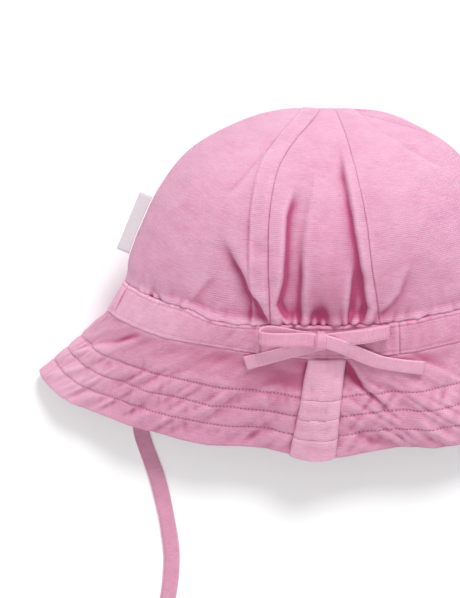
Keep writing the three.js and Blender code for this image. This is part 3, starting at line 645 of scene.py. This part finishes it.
def cloth_material(name, light, dark, deep, weft=0.92, warp=0.7, bump=0.8, rib=0.5, sheen=0.1):
    """Woven cloth. The map named Cloth holds the place on the cloth in cm. A point attribute carries painted
    shade where positive, painted highlight where negative, and dark seam lines.
    """
    n = Nodes(name)
    light, dark, deep = rgb(light), rgb(dark), rgb(deep)
    place = n.add("UVMap", {}, uv_map="Cloth").outputs[0]
    u, v, _ = n.add("SeparateXYZ", {0: place}).outputs

    def patches(scale_u, scale_v, detail, seed):
        along, down = n.math("MULTIPLY", u, scale_u), n.math("MULTIPLY", v, scale_v)
        at = n.add("CombineXYZ", {0: along, 1: down, 2: seed}).outputs[0]
        made = n.add("TexNoise", {"Vector": at, "Scale": 1.0, "Detail": detail, "Roughness": 0.6})
        return n.math("SUBTRACT", made.outputs[0], 0.5)

    blotch, slub, yarn = patches(*BLOTCH), patches(*SLUB), patches(*YARN)

    def wave(along, spacing):
        turns = n.math("MULTIPLY", n.weighted(along, (slub, 0.05)), 2 * np.pi * MM_IN_CM / spacing)
        return n.math("SINE", turns)

    ribs = n.math("MULTIPLY", wave(v, weft), n.weighted(1.0, (patches(*RIB_STRENGTH), 2.4)))
    mix = n.weighted(0.5, (blotch, 1.3), (slub, 1.4), (yarn, 1.2), (ribs, 0.24 * rib))
    painted_shading_and_seams = n.add("Attribute", {}, attribute_name="painted_shading_and_seams").outputs["Fac"]
    # Painted shade: the deep colour is mixed in where the point attribute is positive
    colour = n.mix(n.math("MULTIPLY", painted_shading_and_seams, 0.8), n.mix(mix, dark, light), deep)
    # Painted highlight: the pale pink is mixed in where the point attribute is negative
    colour = n.mix(n.math("MULTIPLY", painted_shading_and_seams, -0.22), colour, PAINTED_HIGHLIGHT_COLOUR)
    height = n.weighted(0.0, (ribs, rib * 0.6), (wave(u, warp), 0.2), (yarn, 0.9))
    weave = n.add("Bump", {"Strength": bump, "Distance": 0.22 * MM, "Height": height})
    n.fill(n.shader, {
        "Base Color": colour, "Roughness": n.weighted(0.84, (slub, 0.12)), "Normal": weave.outputs[0],
        "Sheen Weight": sheen, "Sheen Roughness": 0.5, "Sheen Tint": SHEEN_TINT, "Specular IOR Level": 0.4,
        "Subsurface Weight": 0.25, "Subsurface Radius": (1.0, 0.4, 0.55), "Subsurface Scale": 1.2 * MM,
    })
    return n.material


# Each cloth: a pale and a rich tone of its dye, mixed at random over the weave, and a deep colour that is
# painted shade
crown_cloth = cloth_material("crown_cloth", (229, 174, 200), (214, 146, 178), (184, 76, 122))
band_cloth = cloth_material("band_cloth", (229, 167, 194), (212, 138, 171), (180, 74, 116), rib=0.3)
brim_cloth = cloth_material("brim_cloth", (230, 166, 194), (213, 139, 171), (176, 66, 110), rib=0.4)
# A lighter copy of the brim's colours: painted light on the raised strip
strip_cloth_painted_light = cloth_material("strip_cloth_painted_light", (242, 186, 209), (226, 160, 189), (180, 80, 120), rib=0.4)
tape_cloth = cloth_material(
    "tape_cloth", (233, 172, 198), (219, 150, 180), (180, 82, 122), weft=0.8, warp=0.62, rib=0.2
)
# A darker copy of the tape's colours: painted shade on ties that lie low on the floor
tie_cloth_painted_shade = cloth_material(
    "tie_cloth_painted_shade", (222, 162, 187), (208, 142, 170), (174, 82, 120), weft=0.8, warp=0.62, rib=0.2
)
thread = cloth_material("thread", (234, 168, 196), (222, 150, 182), (184, 104, 140), bump=0.2)
# Dark colour for the needle holes: painted shade
needle_hole_shade = cloth_material("needle_hole_shade", (168, 78, 116), (150, 62, 100), (128, 48, 84), bump=0.1)
tag_ribbon = cloth_material(
    "tag_ribbon", (214, 208, 212), (204, 197, 202), (182, 172, 178), weft=0.5, warp=0.5, bump=0.25
)


# Tapes

TAPE_HALF = np.linspace(-1, 1, 17)
TAPE_ACROSS = np.concatenate([TAPE_HALF, TAPE_HALF[::-1]])
TAPE_FACE = np.repeat([1.0, -1.0], len(TAPE_HALF))
TURNED_EDGE = 0.9
ROUND_END = 1.2


def tape_section(width, wall, groove=TURNED_EDGE):
    """Places across a tape and their heights, in order round its section."""
    edge = np.minimum((1 - np.abs(TAPE_ACROSS)) * width / 2, wall / 2) / (wall / 2)
    thick = np.sqrt(np.maximum(1 - (1 - edge) ** 2, 0.12)) * wall / 2
    thick = thick - 0.16 * bell((1 - TAPE_ACROSS) * width / 2 - groove, 0.28) * (TAPE_FACE > 0)
    return TAPE_ACROSS * width / 2, thick * TAPE_FACE


def tape_shade(width):
    """Painted shading across a tape: painted highlight along its edges and painted shade in the groove beside
    its turned edge.
    """
    from_edge = (1 - np.abs(TAPE_ACROSS)) * width / 2
    from_turned = (1 - TAPE_ACROSS) * width / 2
    return 0.35 * bell(from_turned - TURNED_EDGE, 0.3) - 0.9 * bell(from_edge, 0.35)


def tape_along(points, tangents, sides, length, width, wall, seed=0.0, hem=0.0):
    """A flat tape along points. sides points across it, and hem is the length of its turned end."""
    across, thick = tape_section(width, wall)
    up = unit(np.cross(sides, tangents))
    left = length[-1] - length
    end = np.sqrt(np.clip(left / ROUND_END, 0.1, 1))
    wave = 0.22 * noise(length / 9, seed, 4.0)[:, None]
    wave = wave + 0.1 * noise(length[:, None] / 3, across / 3 + seed, 6.0)
    pinch = (1 + 0.04 * noise(length / 12, seed + 3, 2.0))[:, None]
    grid = points[:, None] + sides[:, None] * (across[None, :] * pinch)[..., None]
    grid = grid + up[:, None] * (thick[None, :] * end[:, None] + wave)[..., None]
    uv = cloth_map(across[None, :], length[:, None]) + seed
    painted_shading_and_seams = np.broadcast_to(tape_shade(width), grid.shape[:2])
    # A hemmed tail: painted shade along the turn of the hem and painted highlight over the whole tail
    if hem:
        painted_shading_and_seams = painted_shading_and_seams + 0.7 * bell(left - hem, 0.35)[:, None] - 0.5
    return tube(grid, uv, painted_shading_and_seams)


# Camera and chin ties

TIE_SHIFT_START = 6
TIE_POINTS = 240
TIE_ABOVE_FLOOR = 0.06


def chin_tie(name, side, node):
    shift = TIE_RIGHT_SHIFT if side > 0 else 0
    route = []
    for i, (x, y, z) in enumerate(TIE_ROUTE):
        spread = shift * smooth((i - TIE_SHIFT_START) / TIE_SHIFT_START)
        route.append((-side * x + side * spread, y, z))
    points, tangents, length = curve_points(route, TIE_POINTS)
    level_side = unit(np.cross(tangents, (0, 0, 1)))
    grid = tape_along(points, tangents, level_side, length, TIE_WIDTH, TIE_WALL, seed=side + 2.0)
    grid[0][:, 2] = np.maximum(grid[0][:, 2], TIE_ABOVE_FLOOR)
    piece = make_piece(name, [grid], tie_cloth_painted_shade, [node])


camera_data = bpy.data.cameras.new("camera")
camera_data.sensor_fit = "VERTICAL"
camera_data.sensor_height = SENSOR
camera_data.lens = SENSOR * (CAMERA_AT[2] - VIEW_PLANE) / VIEW_HEIGHT
camera = new_object("camera", camera_data)
camera.location = [c * MM for c in CAMERA_AT]
bpy.context.scene.camera = camera

chin_tie("tie_left", -1, "chin_tie_left")
chin_tie("tie_right", 1, "chin_tie_right")


# Crown

SEAM_EDGE = np.array([0, 0.1, 0.25, 0.45, 0.7, 1.0, 1.4, 1.9, 2.5])
SEAM_ROLL = 0.9
SEAM_DEPTH = 0.32
NARROW = 14.0
ALLOWANCE = 8.6
TUCK = 1.55
FULL_TURN = 360


def rolled(distance, radius, depth):
    """How far an edge that turns in has sunk at a distance from it."""
    t = 1 - np.clip(distance / radius, 0, 1)
    return -depth * (1 - np.sqrt(np.maximum(1 - t * t, 0)))


def tucked(distance):
    """How far cloth that runs on under the band has sunk at a distance from the band's edge."""
    return -TUCK * (1 - smooth((distance + 0.3) / 1.2))


def seam_angle(which, level):
    turns = {
        "side_left": SIDE_SEAM_LEFT, "front_left": FRONT_SEAM_LEFT, "front_right": FRONT_SEAM_RIGHT,
        "front_left_again": FRONT_SEAM_LEFT + FULL_TURN,
    }
    if which in turns:
        return np.full_like(level, np.radians(turns[which]))
    return np.radians(sample(SEAMS, which, level))


def back_shade(theta, distance):
    """Painted shade over the back at a distance above the band: dark in the gathers, with a painted highlight
    on the shoulders.
    """
    middle = bell(theta - 0.03, 0.42, 4)
    facing = np.maximum(np.cos(theta), 0)
    dark = 0.4 * middle * bell(distance, 34) + 0.25 * facing * bell(distance, 10)
    dark = dark + 0.36 * bell(theta - 0.03, 0.15, 4) * bell(distance, 42)
    return dark - 0.7 * facing * smooth((distance - 48) / 26) * (1 - 0.6 * middle)


def allowance(distance, width, level):
    """Height of the allowance pressed flat under the cloth, at a distance from its seam, and the painted
    shade along its edge.
    """
    reach = np.minimum(ALLOWANCE, 0.42 * width)
    inside = smooth((reach - distance) / 0.9 + 0.5)
    raised = lerp(0.2, 1, smooth(distance / 2.6))
    wrinkle = 0.5 * noise(level * 3.2, distance * 0.05 + 4, 7.0) * inside
    height = (0.6 * inside + wrinkle) * raised + 0.35 * bell(distance - reach, 0.8)
    return height, 0.4 * bell(distance - reach - 1, 0.6)


def crown_panel(name, node, start, end, columns, rows, folded=False):
    """A wedge of the crown. folded says that the allowance of its second seam is pressed under it."""
    level = lerp(TIP_LEVEL, BAND_TOP + 0.05, np.linspace(0, 1, rows + 1) ** 0.94)
    left, right = seam_angle(start, level), seam_angle(end, level)
    fine = np.linspace(0, 1, 161)
    coarse = smooth_point(left + (right - left) * fine[:, None], level[None, :])
    arc = run_length(coarse)
    width = arc[-1]
    tight = np.minimum(1, width / NARROW)
    near = SEAM_EDGE[:, None] * tight
    middle = lerp(near[-1], width - near[-1], np.linspace(0, 1, columns + 2)[1:-1, None])
    place = np.concatenate([near, middle, (width - near)[::-1]])
    theta = np.stack([
        np.interp(place[:, j], arc[:, j], left[j] + (right[j] - left[j]) * fine) for j in range(rows + 1)
    ], 1)
    edge = np.minimum(place, width - place)
    extra = -SEAM_DEPTH * tight * (1 - np.clip(edge / (SEAM_ROLL * tight), 0, 1)) ** 2
    for distance in (place, width - place):
        ease = np.exp(-distance / 3.5) * smooth((level - 2) / 3)
        extra += 0.16 * noise(level * 5.5, distance * 0.1 + 9, 3.0) * ease * tight
    border_shade = 0.0
    if folded:
        raised, border_shade = allowance(width - place, width, level)
        extra += raised * tight
    down = run_length(coarse[len(fine) // 2])
    from_band = np.interp(BAND_TOP, level, down) - down
    extra += tucked(from_band)
    points, normals, height = cloth(theta, np.broadcast_to(level, theta.shape), extra)
    inner = shifted(points, normals, -PANEL_WALL - np.minimum(extra, 0) * 0.75)
    # Painted shade in hollows, at the allowance's edge, at the feet of folds and low on the back, with
    # painted highlight on the shoulders; a dark line along each seam, partly the joint's own colour and
    # partly painted shade in its groove
    painted_shading_and_seams = (shade(height, 14) + border_shade) * tight + 0.42 * fold_shade(points)
    painted_shading_and_seams = painted_shading_and_seams + back_shade(theta, from_band) + 0.5 * bell(edge, 0.4)
    part = shell(shifted(points, normals, 0), inner, cloth_map(place - width / 2, -down), painted_shading_and_seams)
    make_piece(name, [part], crown_cloth, [node])


crown_panel("panel_back", "crown_panel_back", "left", "right", 84, 190)
crown_panel("panel_back_left", "crown_panel_back_left", "side_left", "left", 130, 150, folded=True)
crown_panel("panel_back_right", "crown_panel_back_right", "right", "sideRight", 130, 150)
crown_panel("panel_front_left", "crown_panel_front_left", "front_left", "side_left", 50, 70)
crown_panel("panel_front_right", "crown_panel_front_right", "sideRight", "front_right", 50, 100)
crown_panel("panel_front", "crown_panel_front", "front_right", "front_left_again", 50, 70)


# Band, and what the brim shares with it


def angles_round(back, front):
    """Angles round the head from the middle of the front, closer together over the back."""
    first = np.linspace(-180, -96, front // 2, endpoint=False)
    middle = np.linspace(-96, 96, back, endpoint=False)
    last = np.linspace(96, 180, front // 2, endpoint=False)
    return np.radians(np.concatenate([first, middle, last]))


def round_length(theta, level):
    return run_length(smooth_point(theta, np.full_like(theta, level)))


def ring_piece(section, uv, painted_shading_and_seams, name, material, nodes):
    """A closed skin right round the head. The painted shading covers the first columns of its section."""
    bare = np.zeros((len(section), section.shape[1] - painted_shading_and_seams.shape[1]))
    skin = tube(section, uv, np.concatenate([painted_shading_and_seams, bare], 1), wrap_n=True)
    make_piece(name, [skin], material, nodes)


def with_rims(rim, count):
    """Places from 0 to 1 across a strip, closer together beside both of its edges."""
    rim = np.array(rim)
    return np.concatenate([rim, np.linspace(0.13, 0.87, count), 1 - rim[::-1]])


# Joints of the band, with how dark each is, and its rows of stitching, with how deep each is
BAND_JOINTS = [
    (0.3, [(35.9, -36), (36.6, -50)]),
    (0.2, [(-29.3, -36), (-29.8, -49)]),
    (2.4, [(-91.8, -15.5), (-98.1, -27.5)]),
]
BAND_STITCHES = ((1.5, 0.35), (13.4, 0.3))


def head_band():
    theta = angles_round(520, 160)
    across = with_rims([0, 0.012, 0.03, 0.055, 0.09], 17)
    level = BAND_TOP + across
    t, l = np.meshgrid(theta, level, indexing="ij")
    depth = BAND_HEIGHT * across[None, :]
    above_brim = BAND_HEIGHT - depth
    base = smooth_point(t, l)
    x, y = base[..., 0], base[..., 1]
    extra = rolled(np.minimum(depth, above_brim), 0.75, 0.8) + 0.28 * np.sin(np.pi * across)[None, :]
    pucker = noise(t * 26, depth * 0.09, 5.0) + 0.6 * noise(t * 55, depth * 0.14, 8.0)
    extra = extra + 0.5 * pucker * (np.exp(-depth / 3.2) + 0.5 * np.exp(-above_brim / 2.5))
    extra = extra + 0.3 * noise(t * 15, depth * 0.16, 2.0)
    extra = extra + 0.2 * noise(t * 34 + 0.15 * depth, depth * 0.1, 12.0)
    for row, sunk in BAND_STITCHES:
        extra = extra - sunk * bell(depth - row, 0.4)
    line = 0.0
    for darkness, joint in BAND_JOINTS:
        signed, past, _ = line_distance(joint, x, y)
        facing = (np.cos(t) > 0) * bell(past, 1.5)
        line = line + darkness * facing * bell(signed, 0.5)
        extra = extra + facing * (0.35 * bell(signed - 1, 0.9) - 0.45 * bell(signed, 0.4))
    points, normals, height = cloth(t, l, extra, wrap=True)
    outer = shifted(points, normals, BAND_PROUD)
    inner_rows = [len(level) - 1, 20, 13, 6, 0]
    inner = shifted(points, normals, BAND_PROUD - BAND_WALL - 0.7 * np.minimum(extra, 0))[:, inner_rows]
    section = np.concatenate([outer, inner], 1)
    down = np.concatenate([depth[0], depth[0][inner_rows]])
    uv = cloth_map(round_length(theta, 7.5)[:, None], -down)
    # Painted shade in hollows, with the band's dark joints; painted highlight on its left side and a little
    # painted shade near its middle
    painted_shading_and_seams = shade(height, 8, 0.5, 30, 1.6) + line
    painted_shading_and_seams = painted_shading_and_seams - 1.1 * smooth((-x - 50) / 30) + 0.2 * bell(x - 8, 45)
    ring_piece(section, uv, painted_shading_and_seams, "band", band_cloth, ["head_band"])


head_band()


# Brim

BRIM_SEAMS = (-80.0, 100.0)

# Wrinkles of the brim, drawn out along lines that slant to the left by slant for each mm down the brim
WRINKLE_COLUMNS = "slant across along seed height"
PUCKERS = table(WRINKLE_COLUMNS, (0.7, 3.4, 15, 3, 1), (-0.3, 2.2, 11, 6, 0.4))
CREASES = table(WRINKLE_COLUMNS, (0.8, 9, 16, 11, 1))
BUNCHED = table(WRINKLE_COLUMNS, (-0.9, 5.5, 24, 21, 1), (-1.1, 3, 16, 22, 0.5))
SLACK = table(WRINKLE_COLUMNS, (0.7, 13, 30, 14, 1), (1.1, 6, 22, 15, 0.5))


def wrinkles(rows, place, depth, lean=1.0):
    return sum(
        h * noise((place + slant * lean * depth) / across, depth / along, seed)
        for slant, across, along, seed, h in rows_of(rows)
    )


def brim_depth(level):
    """How far down the brim a level lies, in mm."""
    return (level - BAND_BOTTOM) / BRIM_SPAN * BRIM_DEPTH


def beside_strip(theta, level):
    """Distance from the nearer side of the strip."""
    half_width = sample(BRIM_SECTIONS, "halfWidth", np.maximum(level, BAND_BOTTOM))
    level = np.maximum(level, STRIP_ROWS["level"][0])
    sides = [np.arcsin(sample(STRIP_ROWS, key, level) / half_width) for key in ("left", "right")]
    return np.minimum(*(np.abs(theta - side) for side in sides)) * BRIM_RADIUS


def brim_profile(theta, level):
    """Stitched channels, puckers, hem and side seams of the brim."""
    out = (level - BAND_BOTTOM) / BRIM_SPAN
    depth = brim_depth(level)
    place = theta * BRIM_RADIUS
    height = 0.0
    nearest = np.full_like(depth, 99)
    for row in STITCH_ROWS:
        away = depth - row * BRIM_DEPTH
        height = height - 0.45 * bell(away, 0.6)
        nearest = np.minimum(nearest, np.abs(away))
    stitched = smooth((depth - 15) / 8)
    height += 0.3 * (1 - bell(nearest, 2.4)) * stitched
    loose = 0.3 + 0.7 * (1 - bell(nearest, 2.2))
    calm = (0.25 + 0.75 * smooth(np.cos(theta) / 0.45)) * (1 - 0.65 * smooth((out - 0.9) / 0.1))
    lean = np.where(place < 0, 1.0, -1.0)
    left = smooth((-place - 25) / 45) * (1 - 0.65 * smooth((out - 0.82) / 0.12))
    right = smooth((place - 6) / 9) * (1 - smooth((place - 62) / 30))
    small = 0.62 * wrinkles(PUCKERS, place, depth) * loose + 0.85 * wrinkles(CREASES, place, depth, lean)
    height += small * stitched * calm * (1 + 0.55 * left)
    height += 0.95 * wrinkles(BUNCHED, place, depth) * right * smooth((depth - 8) / 12) * calm
    slack = wrinkles(SLACK, place, depth, lean) * smooth(depth / 10) * (1 - stitched)
    height += (0.7 + 0.4 * left) * slack
    height += tucked(depth)
    height -= 1.1 * bell(beside_strip(theta, level), 3) * smooth(depth / 4)
    for seam in BRIM_SEAMS:
        turn = (theta - np.radians(seam) + np.pi) % (2 * np.pi) - np.pi
        off = turn * BRIM_RADIUS
        height = height - 0.5 * bell(off, 0.5) + 0.3 * bell(off - 2.6, 2.4, 4) - 0.22 * bell(off - 1.6, 0.4)
    return height


# Places down the brim, as parts of its depth: under the band, and in mm from each row of stitching
UNDER_BAND = (-0.023, -0.011, 0.001, 0.011, 0.023, 0.037)
NEAR_ROW = np.array([-1.1, -0.55, -0.25, 0, 0.25, 0.55, 1.1])
RIM_ANGLES = (40, 90, 140)
RIM_STEP = 0.7


def brim():
    theta = angles_round(560, 180)
    close = np.concatenate([UNDER_BAND] + [row + NEAR_ROW / BRIM_DEPTH for row in STITCH_ROWS])
    keep = [step for step in np.linspace(UNDER_BAND[0], 1, 52) if np.abs(close - step).min() > 0.008]
    level = BAND_BOTTOM + BRIM_SPAN * np.sort(np.concatenate([keep, close]))
    t, l = np.meshgrid(theta, level, indexing="ij")
    points, normals, height = cloth(t, l, brim_profile(t, l), wrap=True)
    outer = shifted(points, normals, 0)
    inner = shifted(points, normals, -BRIM_WALL)
    onward = unit(points[:, -1] - points[:, -3])[:, None]
    bulge = []
    for angle in np.radians(RIM_ANGLES):
        drop = -BRIM_WALL / 2 * (1 - np.cos(angle))
        rim = points[:, -1:] + normals[:, -1:] * drop + onward * (BRIM_WALL / 2 * 0.8 * np.sin(angle))
        rim[..., 2] = np.maximum(rim[..., 2], 0)
        bulge.append(rim)
    inner_rows = np.arange(len(level) - 1, -1, -3)
    section = np.concatenate([outer, *bulge, inner[:, inner_rows]], 1)
    depth = brim_depth(level)
    rim_down = depth[-1] + RIM_STEP * np.arange(1, len(RIM_ANGLES) + 1)
    down = np.concatenate([depth, rim_down, depth[inner_rows]])
    uv = cloth_map(round_length(theta, 9.5)[:, None], -down)
    # Painted shade under the band, beside the strip, in a broad dip left of it, in hollows and at the feet of
    # folds; painted highlight on the left tip and the right of the brim
    below_band = np.maximum(depth, 0)
    painted_shade_under_band = 0.6 * bell(below_band, 9) * np.maximum(np.cos(t), 0)
    corner = 0.8 * bell(beside_strip(t, l), 7) * bell(below_band, 17)
    x, y = points[..., 0], points[..., 1]
    painted_dip_shade = 0.4 * bell(x + 24, 26) * bell(y + 64, 18) * (np.cos(t) > 0)
    light = 1.3 * smooth((-x - 92) / 30) + 0.5 * smooth((x - 40) / 30)
    painted_shading_and_seams = shade(height, 8, 0.5, 40, 2.0) + 0.6 * fold_shade(points)
    painted_shading_and_seams = painted_shading_and_seams + painted_shade_under_band + corner + painted_dip_shade - light
    ring_piece(section, uv, painted_shading_and_seams, "brim_cloth", brim_cloth, ["brim"])


brim()


# Rings along one stitch: place along it and width there
STITCH_RINGS = ((-0.5, 0.35), (-0.36, 0.9), (0, 1.0), (0.36, 0.9), (0.5, 0.35))
STITCH_TURN = np.radians(np.arange(0, FULL_TURN, 60))

# The part of the back that the strip covers, where no stitches show, in mm from left to right
STRIP_MIDDLE = -2.0
STRIP_HALF = 10.4
STITCH_RADIUS = 117.82


def stitch_parts(theta, level, lift, long, radius):
    """Short threads with rounded ends along a row on the brim, or the dark pieces of painted shade that stand
    for the needle holes between them.
    """
    base, normal, _ = single_point(theta, level)
    direction = unit(single_point(theta + 0.002, level)[0] - base)
    middle = base + normal * (brim_profile(theta, level) + lift)[:, None]
    side = unit(np.cross(normal, direction))
    rings = []
    for along, thin in STITCH_RINGS:
        across = np.cos(STITCH_TURN) * radius * thin
        proud = np.sin(STITCH_TURN) * radius * thin - 0.12 * (2 * along) ** 2
        ring = middle[:, None] + direction[:, None] * (along * long)
        rings.append(ring + side[:, None] * across[:, None] + normal[:, None] * proud[:, None])
    uv = np.zeros((len(STITCH_RINGS), len(STITCH_TURN), 2))
    return [tube(stitch, uv + rng.random(2)) for stitch in np.stack(rings, 1)]


def brim_rows(name, shift, lift, long, radius, material):
    """The three rows of stitching across the back of the brim, apart from the strip."""
    parts = []
    for row in STITCH_ROWS:
        theta = np.arange(-np.pi / 2, np.pi / 2, STITCH_ANGLE) + shift * STITCH_ANGLE
        off_strip = np.abs(STITCH_RADIUS * np.sin(theta) - STRIP_MIDDLE) > STRIP_HALF
        theta = theta[off_strip] + rng.normal(0, 0.06 * STITCH_ANGLE, off_strip.sum())
        level = BAND_BOTTOM + row * BRIM_SPAN + rng.normal(0, 0.004, len(theta))
        parts += stitch_parts(theta, level, lift, long, radius)
    make_piece(name, parts, material)


brim_rows("brim_stitches", 0, 0.06, 1.0, 0.24, thread)
# Dark pieces between the stitches: painted shade in the needle holes
brim_rows("brim_needle_hole_shade", 0.5, -0.02, 0.75, 0.27, needle_hole_shade)


# Strip down the back of the brim


def strip_profile(x, depth):
    """Puckers of the strip between the rows of stitching."""
    height = 0.3 * noise(x / 5, depth / 9, 4.0) + 0.14 * noise(x / 2.2, depth / 4, 4.0)
    for row in STITCH_ROWS:
        away = depth - row * BRIM_DEPTH + 0.5 * noise(x / 4, 0, row * 5)
        height = height - 0.3 * bell(away, 0.5) + 0.2 * bell(np.abs(away) - 2.2, 1.6)
    return height


def brim_strip():
    across = with_rims([0, 0.015, 0.035, 0.06, 0.09], 22)
    level = np.linspace(STRIP_ROWS["level"][0], STRIP_END, 91)
    left, right = (sample(STRIP_ROWS, key, level) for key in ("left", "right"))
    x = left + (right - left) * across[:, None]
    theta = np.arcsin(x / sample(BRIM_SECTIONS, "halfWidth", level))
    depth = brim_depth(np.broadcast_to(level, theta.shape))
    from_edge = np.minimum(across, 1 - across)[:, None] * (right - left)
    extra = rolled(from_edge, 1.6, 1.0) + rolled(depth - depth[0, 0], 1.0, 0.6)
    extra = extra + 0.5 * np.sin(np.pi * across)[:, None] + strip_profile(x, depth)
    points, normals, height = cloth(theta, np.broadcast_to(level, theta.shape), extra)
    outer = shifted(points, normals, STRIP_GAP + STRIP_WALL)
    inner = shifted(points, normals, STRIP_GAP - 0.8 * np.minimum(extra, 0))
    # The strip's colour carries painted shade in its hollows and painted highlight on its crests
    part = shell(outer, inner, cloth_map(x, -depth), shade(height, 8, 0.5, 30, 2.0))
    make_piece("strip", [part], strip_cloth_painted_light, ["brim_back_strip"])


brim_strip()


# Bow


def bow_ribbon(flat, steps, path, seed):
    """One loop or tail, set on the cloth below its path."""
    x, y, lift = np.array(path, float).T
    points, _, normal = single_point(*find_on_back(x, y))
    points = points + normal * (BAND_PROUD + lift)[:, None]
    both = curve_points(np.concatenate([points, normal], 1), steps)[0]
    places, normals = both[:, :3], unit(both[:, 3:])
    tangents = unit(np.gradient(places, axis=0))
    if flat:
        sides = unit(np.cross(tangents, normals))
    else:
        down = unit(np.array([0, -1, -0.35]))
        sides = unit(down - (tangents @ down)[:, None] * tangents)
    hem = TAIL_HEM if flat else 0
    return tape_along(places, tangents, sides, run_length(places), TAPE_WIDTH, TAPE_WALL, seed, hem)


def knot():
    point, _, normal = single_point(*find_on_back(np.array([KNOT["x"]]), np.array([KNOT["y"]])))
    centre, up = (point + normal * (BAND_PROUD + KNOT["lift"]))[0], normal[0]
    right = np.array([1.0, 0, 0])
    down = unit(np.cross(right, up))
    a = np.linspace(-np.pi / 2, np.pi / 2, 25)[:, None]
    b = np.linspace(0, 2 * np.pi, 48, endpoint=False)[None, :]

    def power(value, p):
        return np.sign(value) * np.abs(value) ** p

    size = np.array(KNOT["size"]) / 2
    x = size[0] * power(np.sin(a), 0.7) * np.ones_like(b)
    ring = np.abs(np.cos(a)) ** 0.55
    y = size[1] * ring * power(np.cos(b), 0.75)
    z = size[2] * ring * power(np.sin(b), 0.75)
    pleats = 0.25 * np.sin(x * 3.1 + 0.35 * y) * ring
    grow = 1 + pleats / np.hypot(y, z).clip(1)
    grid = centre + x[..., None] * right + (y * grow)[..., None] * down + (z * grow)[..., None] * up
    return tube(grid, stacked(x / 10, b * 0.6))


make_piece(
    "bow", [bow_ribbon(*ribbon, 2.0 * i) for i, ribbon in enumerate(BOW_RIBBONS)] + [knot()],
    tape_cloth, ["drawstring_bow"],
)


# Tag in the left side seam

# A groove so far off the section that none shows
NO_GROOVE = 9.0


def side_tag():
    def seam(level):
        return smooth_point(np.full_like(level, -np.pi / 2), level)

    t = np.linspace(0, 1, 40)
    start, end = seam(np.array([TAG["start"], TAG["end"]]))
    outward = unit(np.array([end[1] - start[1], start[0] - end[0], 0]))
    outer = start + (end - start) * t[:, None] + outward * TAG["width"]
    inner = seam(lerp(TAG["start"], TAG["end"], t)) + outward * TAG["gap"]
    across, thick = tape_section(2, TAG["wall"], groove=NO_GROOVE)
    s = (across[None, :, None] + 1) / 2
    grid = inner[:, None] * (1 - s) + outer[:, None] * s
    ends = np.sqrt(np.clip(np.minimum(t, 1 - t) * 60, 0.1, 1))
    grid[..., 2] += thick[None, :] * ends[:, None] + 0.25 * noise(t[:, None] * 3, s[..., 0] * 2, 1.0)
    uv = stacked(s[..., 0] * 0.7, t[:, None] * 2.8)
    make_piece("tag", [tube(grid, uv)], tag_ribbon, ["side_tag"])


side_tag()


# Floor and light

FLOOR_HALF = 4.0
FLOOR_Z = -1e-4
FLOOR_GLOW = 0.15


def stage_floor():
    mesh = bpy.data.meshes.new("floor")
    corners = [(FLOOR_HALF * x, FLOOR_HALF * y, FLOOR_Z) for x, y in ((-1, -1), (1, -1), (1, 1), (-1, 1))]
    mesh.from_pydata(corners, [], [(0, 1, 2, 3)])
    n = Nodes("floor_white")
    grain = n.add("TexNoise", {"Scale": 40.0, "Detail": 2.0})
    n.fill(n.shader, {
        "Base Color": n.mix(grain.outputs[0], (0.86, 0.86, 0.87, 1), (0.9, 0.9, 0.9, 1)), "Roughness": 0.9,
        "Specular IOR Level": 0.1, "Emission Color": (1, 1, 1, 1), "Emission Strength": FLOOR_GLOW,
    })
    mesh.materials.append(n.material)
    floor = new_object("floor", mesh)


def area_light(name, at, size, power):
    """A round soft light that points at the hat."""
    data = bpy.data.lights.new(name, "AREA")
    data.shape = "DISK"
    data.size = size
    data.energy = power
    lamp = new_object(name, data)
    lamp.location = at
    aim = np.array([0, 0, 0.03]) - np.array(at)
    flat = np.hypot(aim[0], aim[1])
    lamp.rotation_euler = (np.arctan2(flat, -aim[2]), 0, np.arctan2(-aim[0], aim[1]))


stage_floor()
area_light("key", (0.45, 1.3, 1.5), 0.8, 29.0)
area_light("fill", (-0.4, -0.7, 1.6), 1.3, 9.0)

world = bpy.data.worlds.new("studio")
world.use_nodes = True
world.node_tree.nodes["Background"].inputs["Color"].default_value = (1, 1, 1, 1)
world.node_tree.nodes["Background"].inputs["Strength"].default_value = 0.46
scene.world = world
scene.view_settings.view_transform = "Standard"
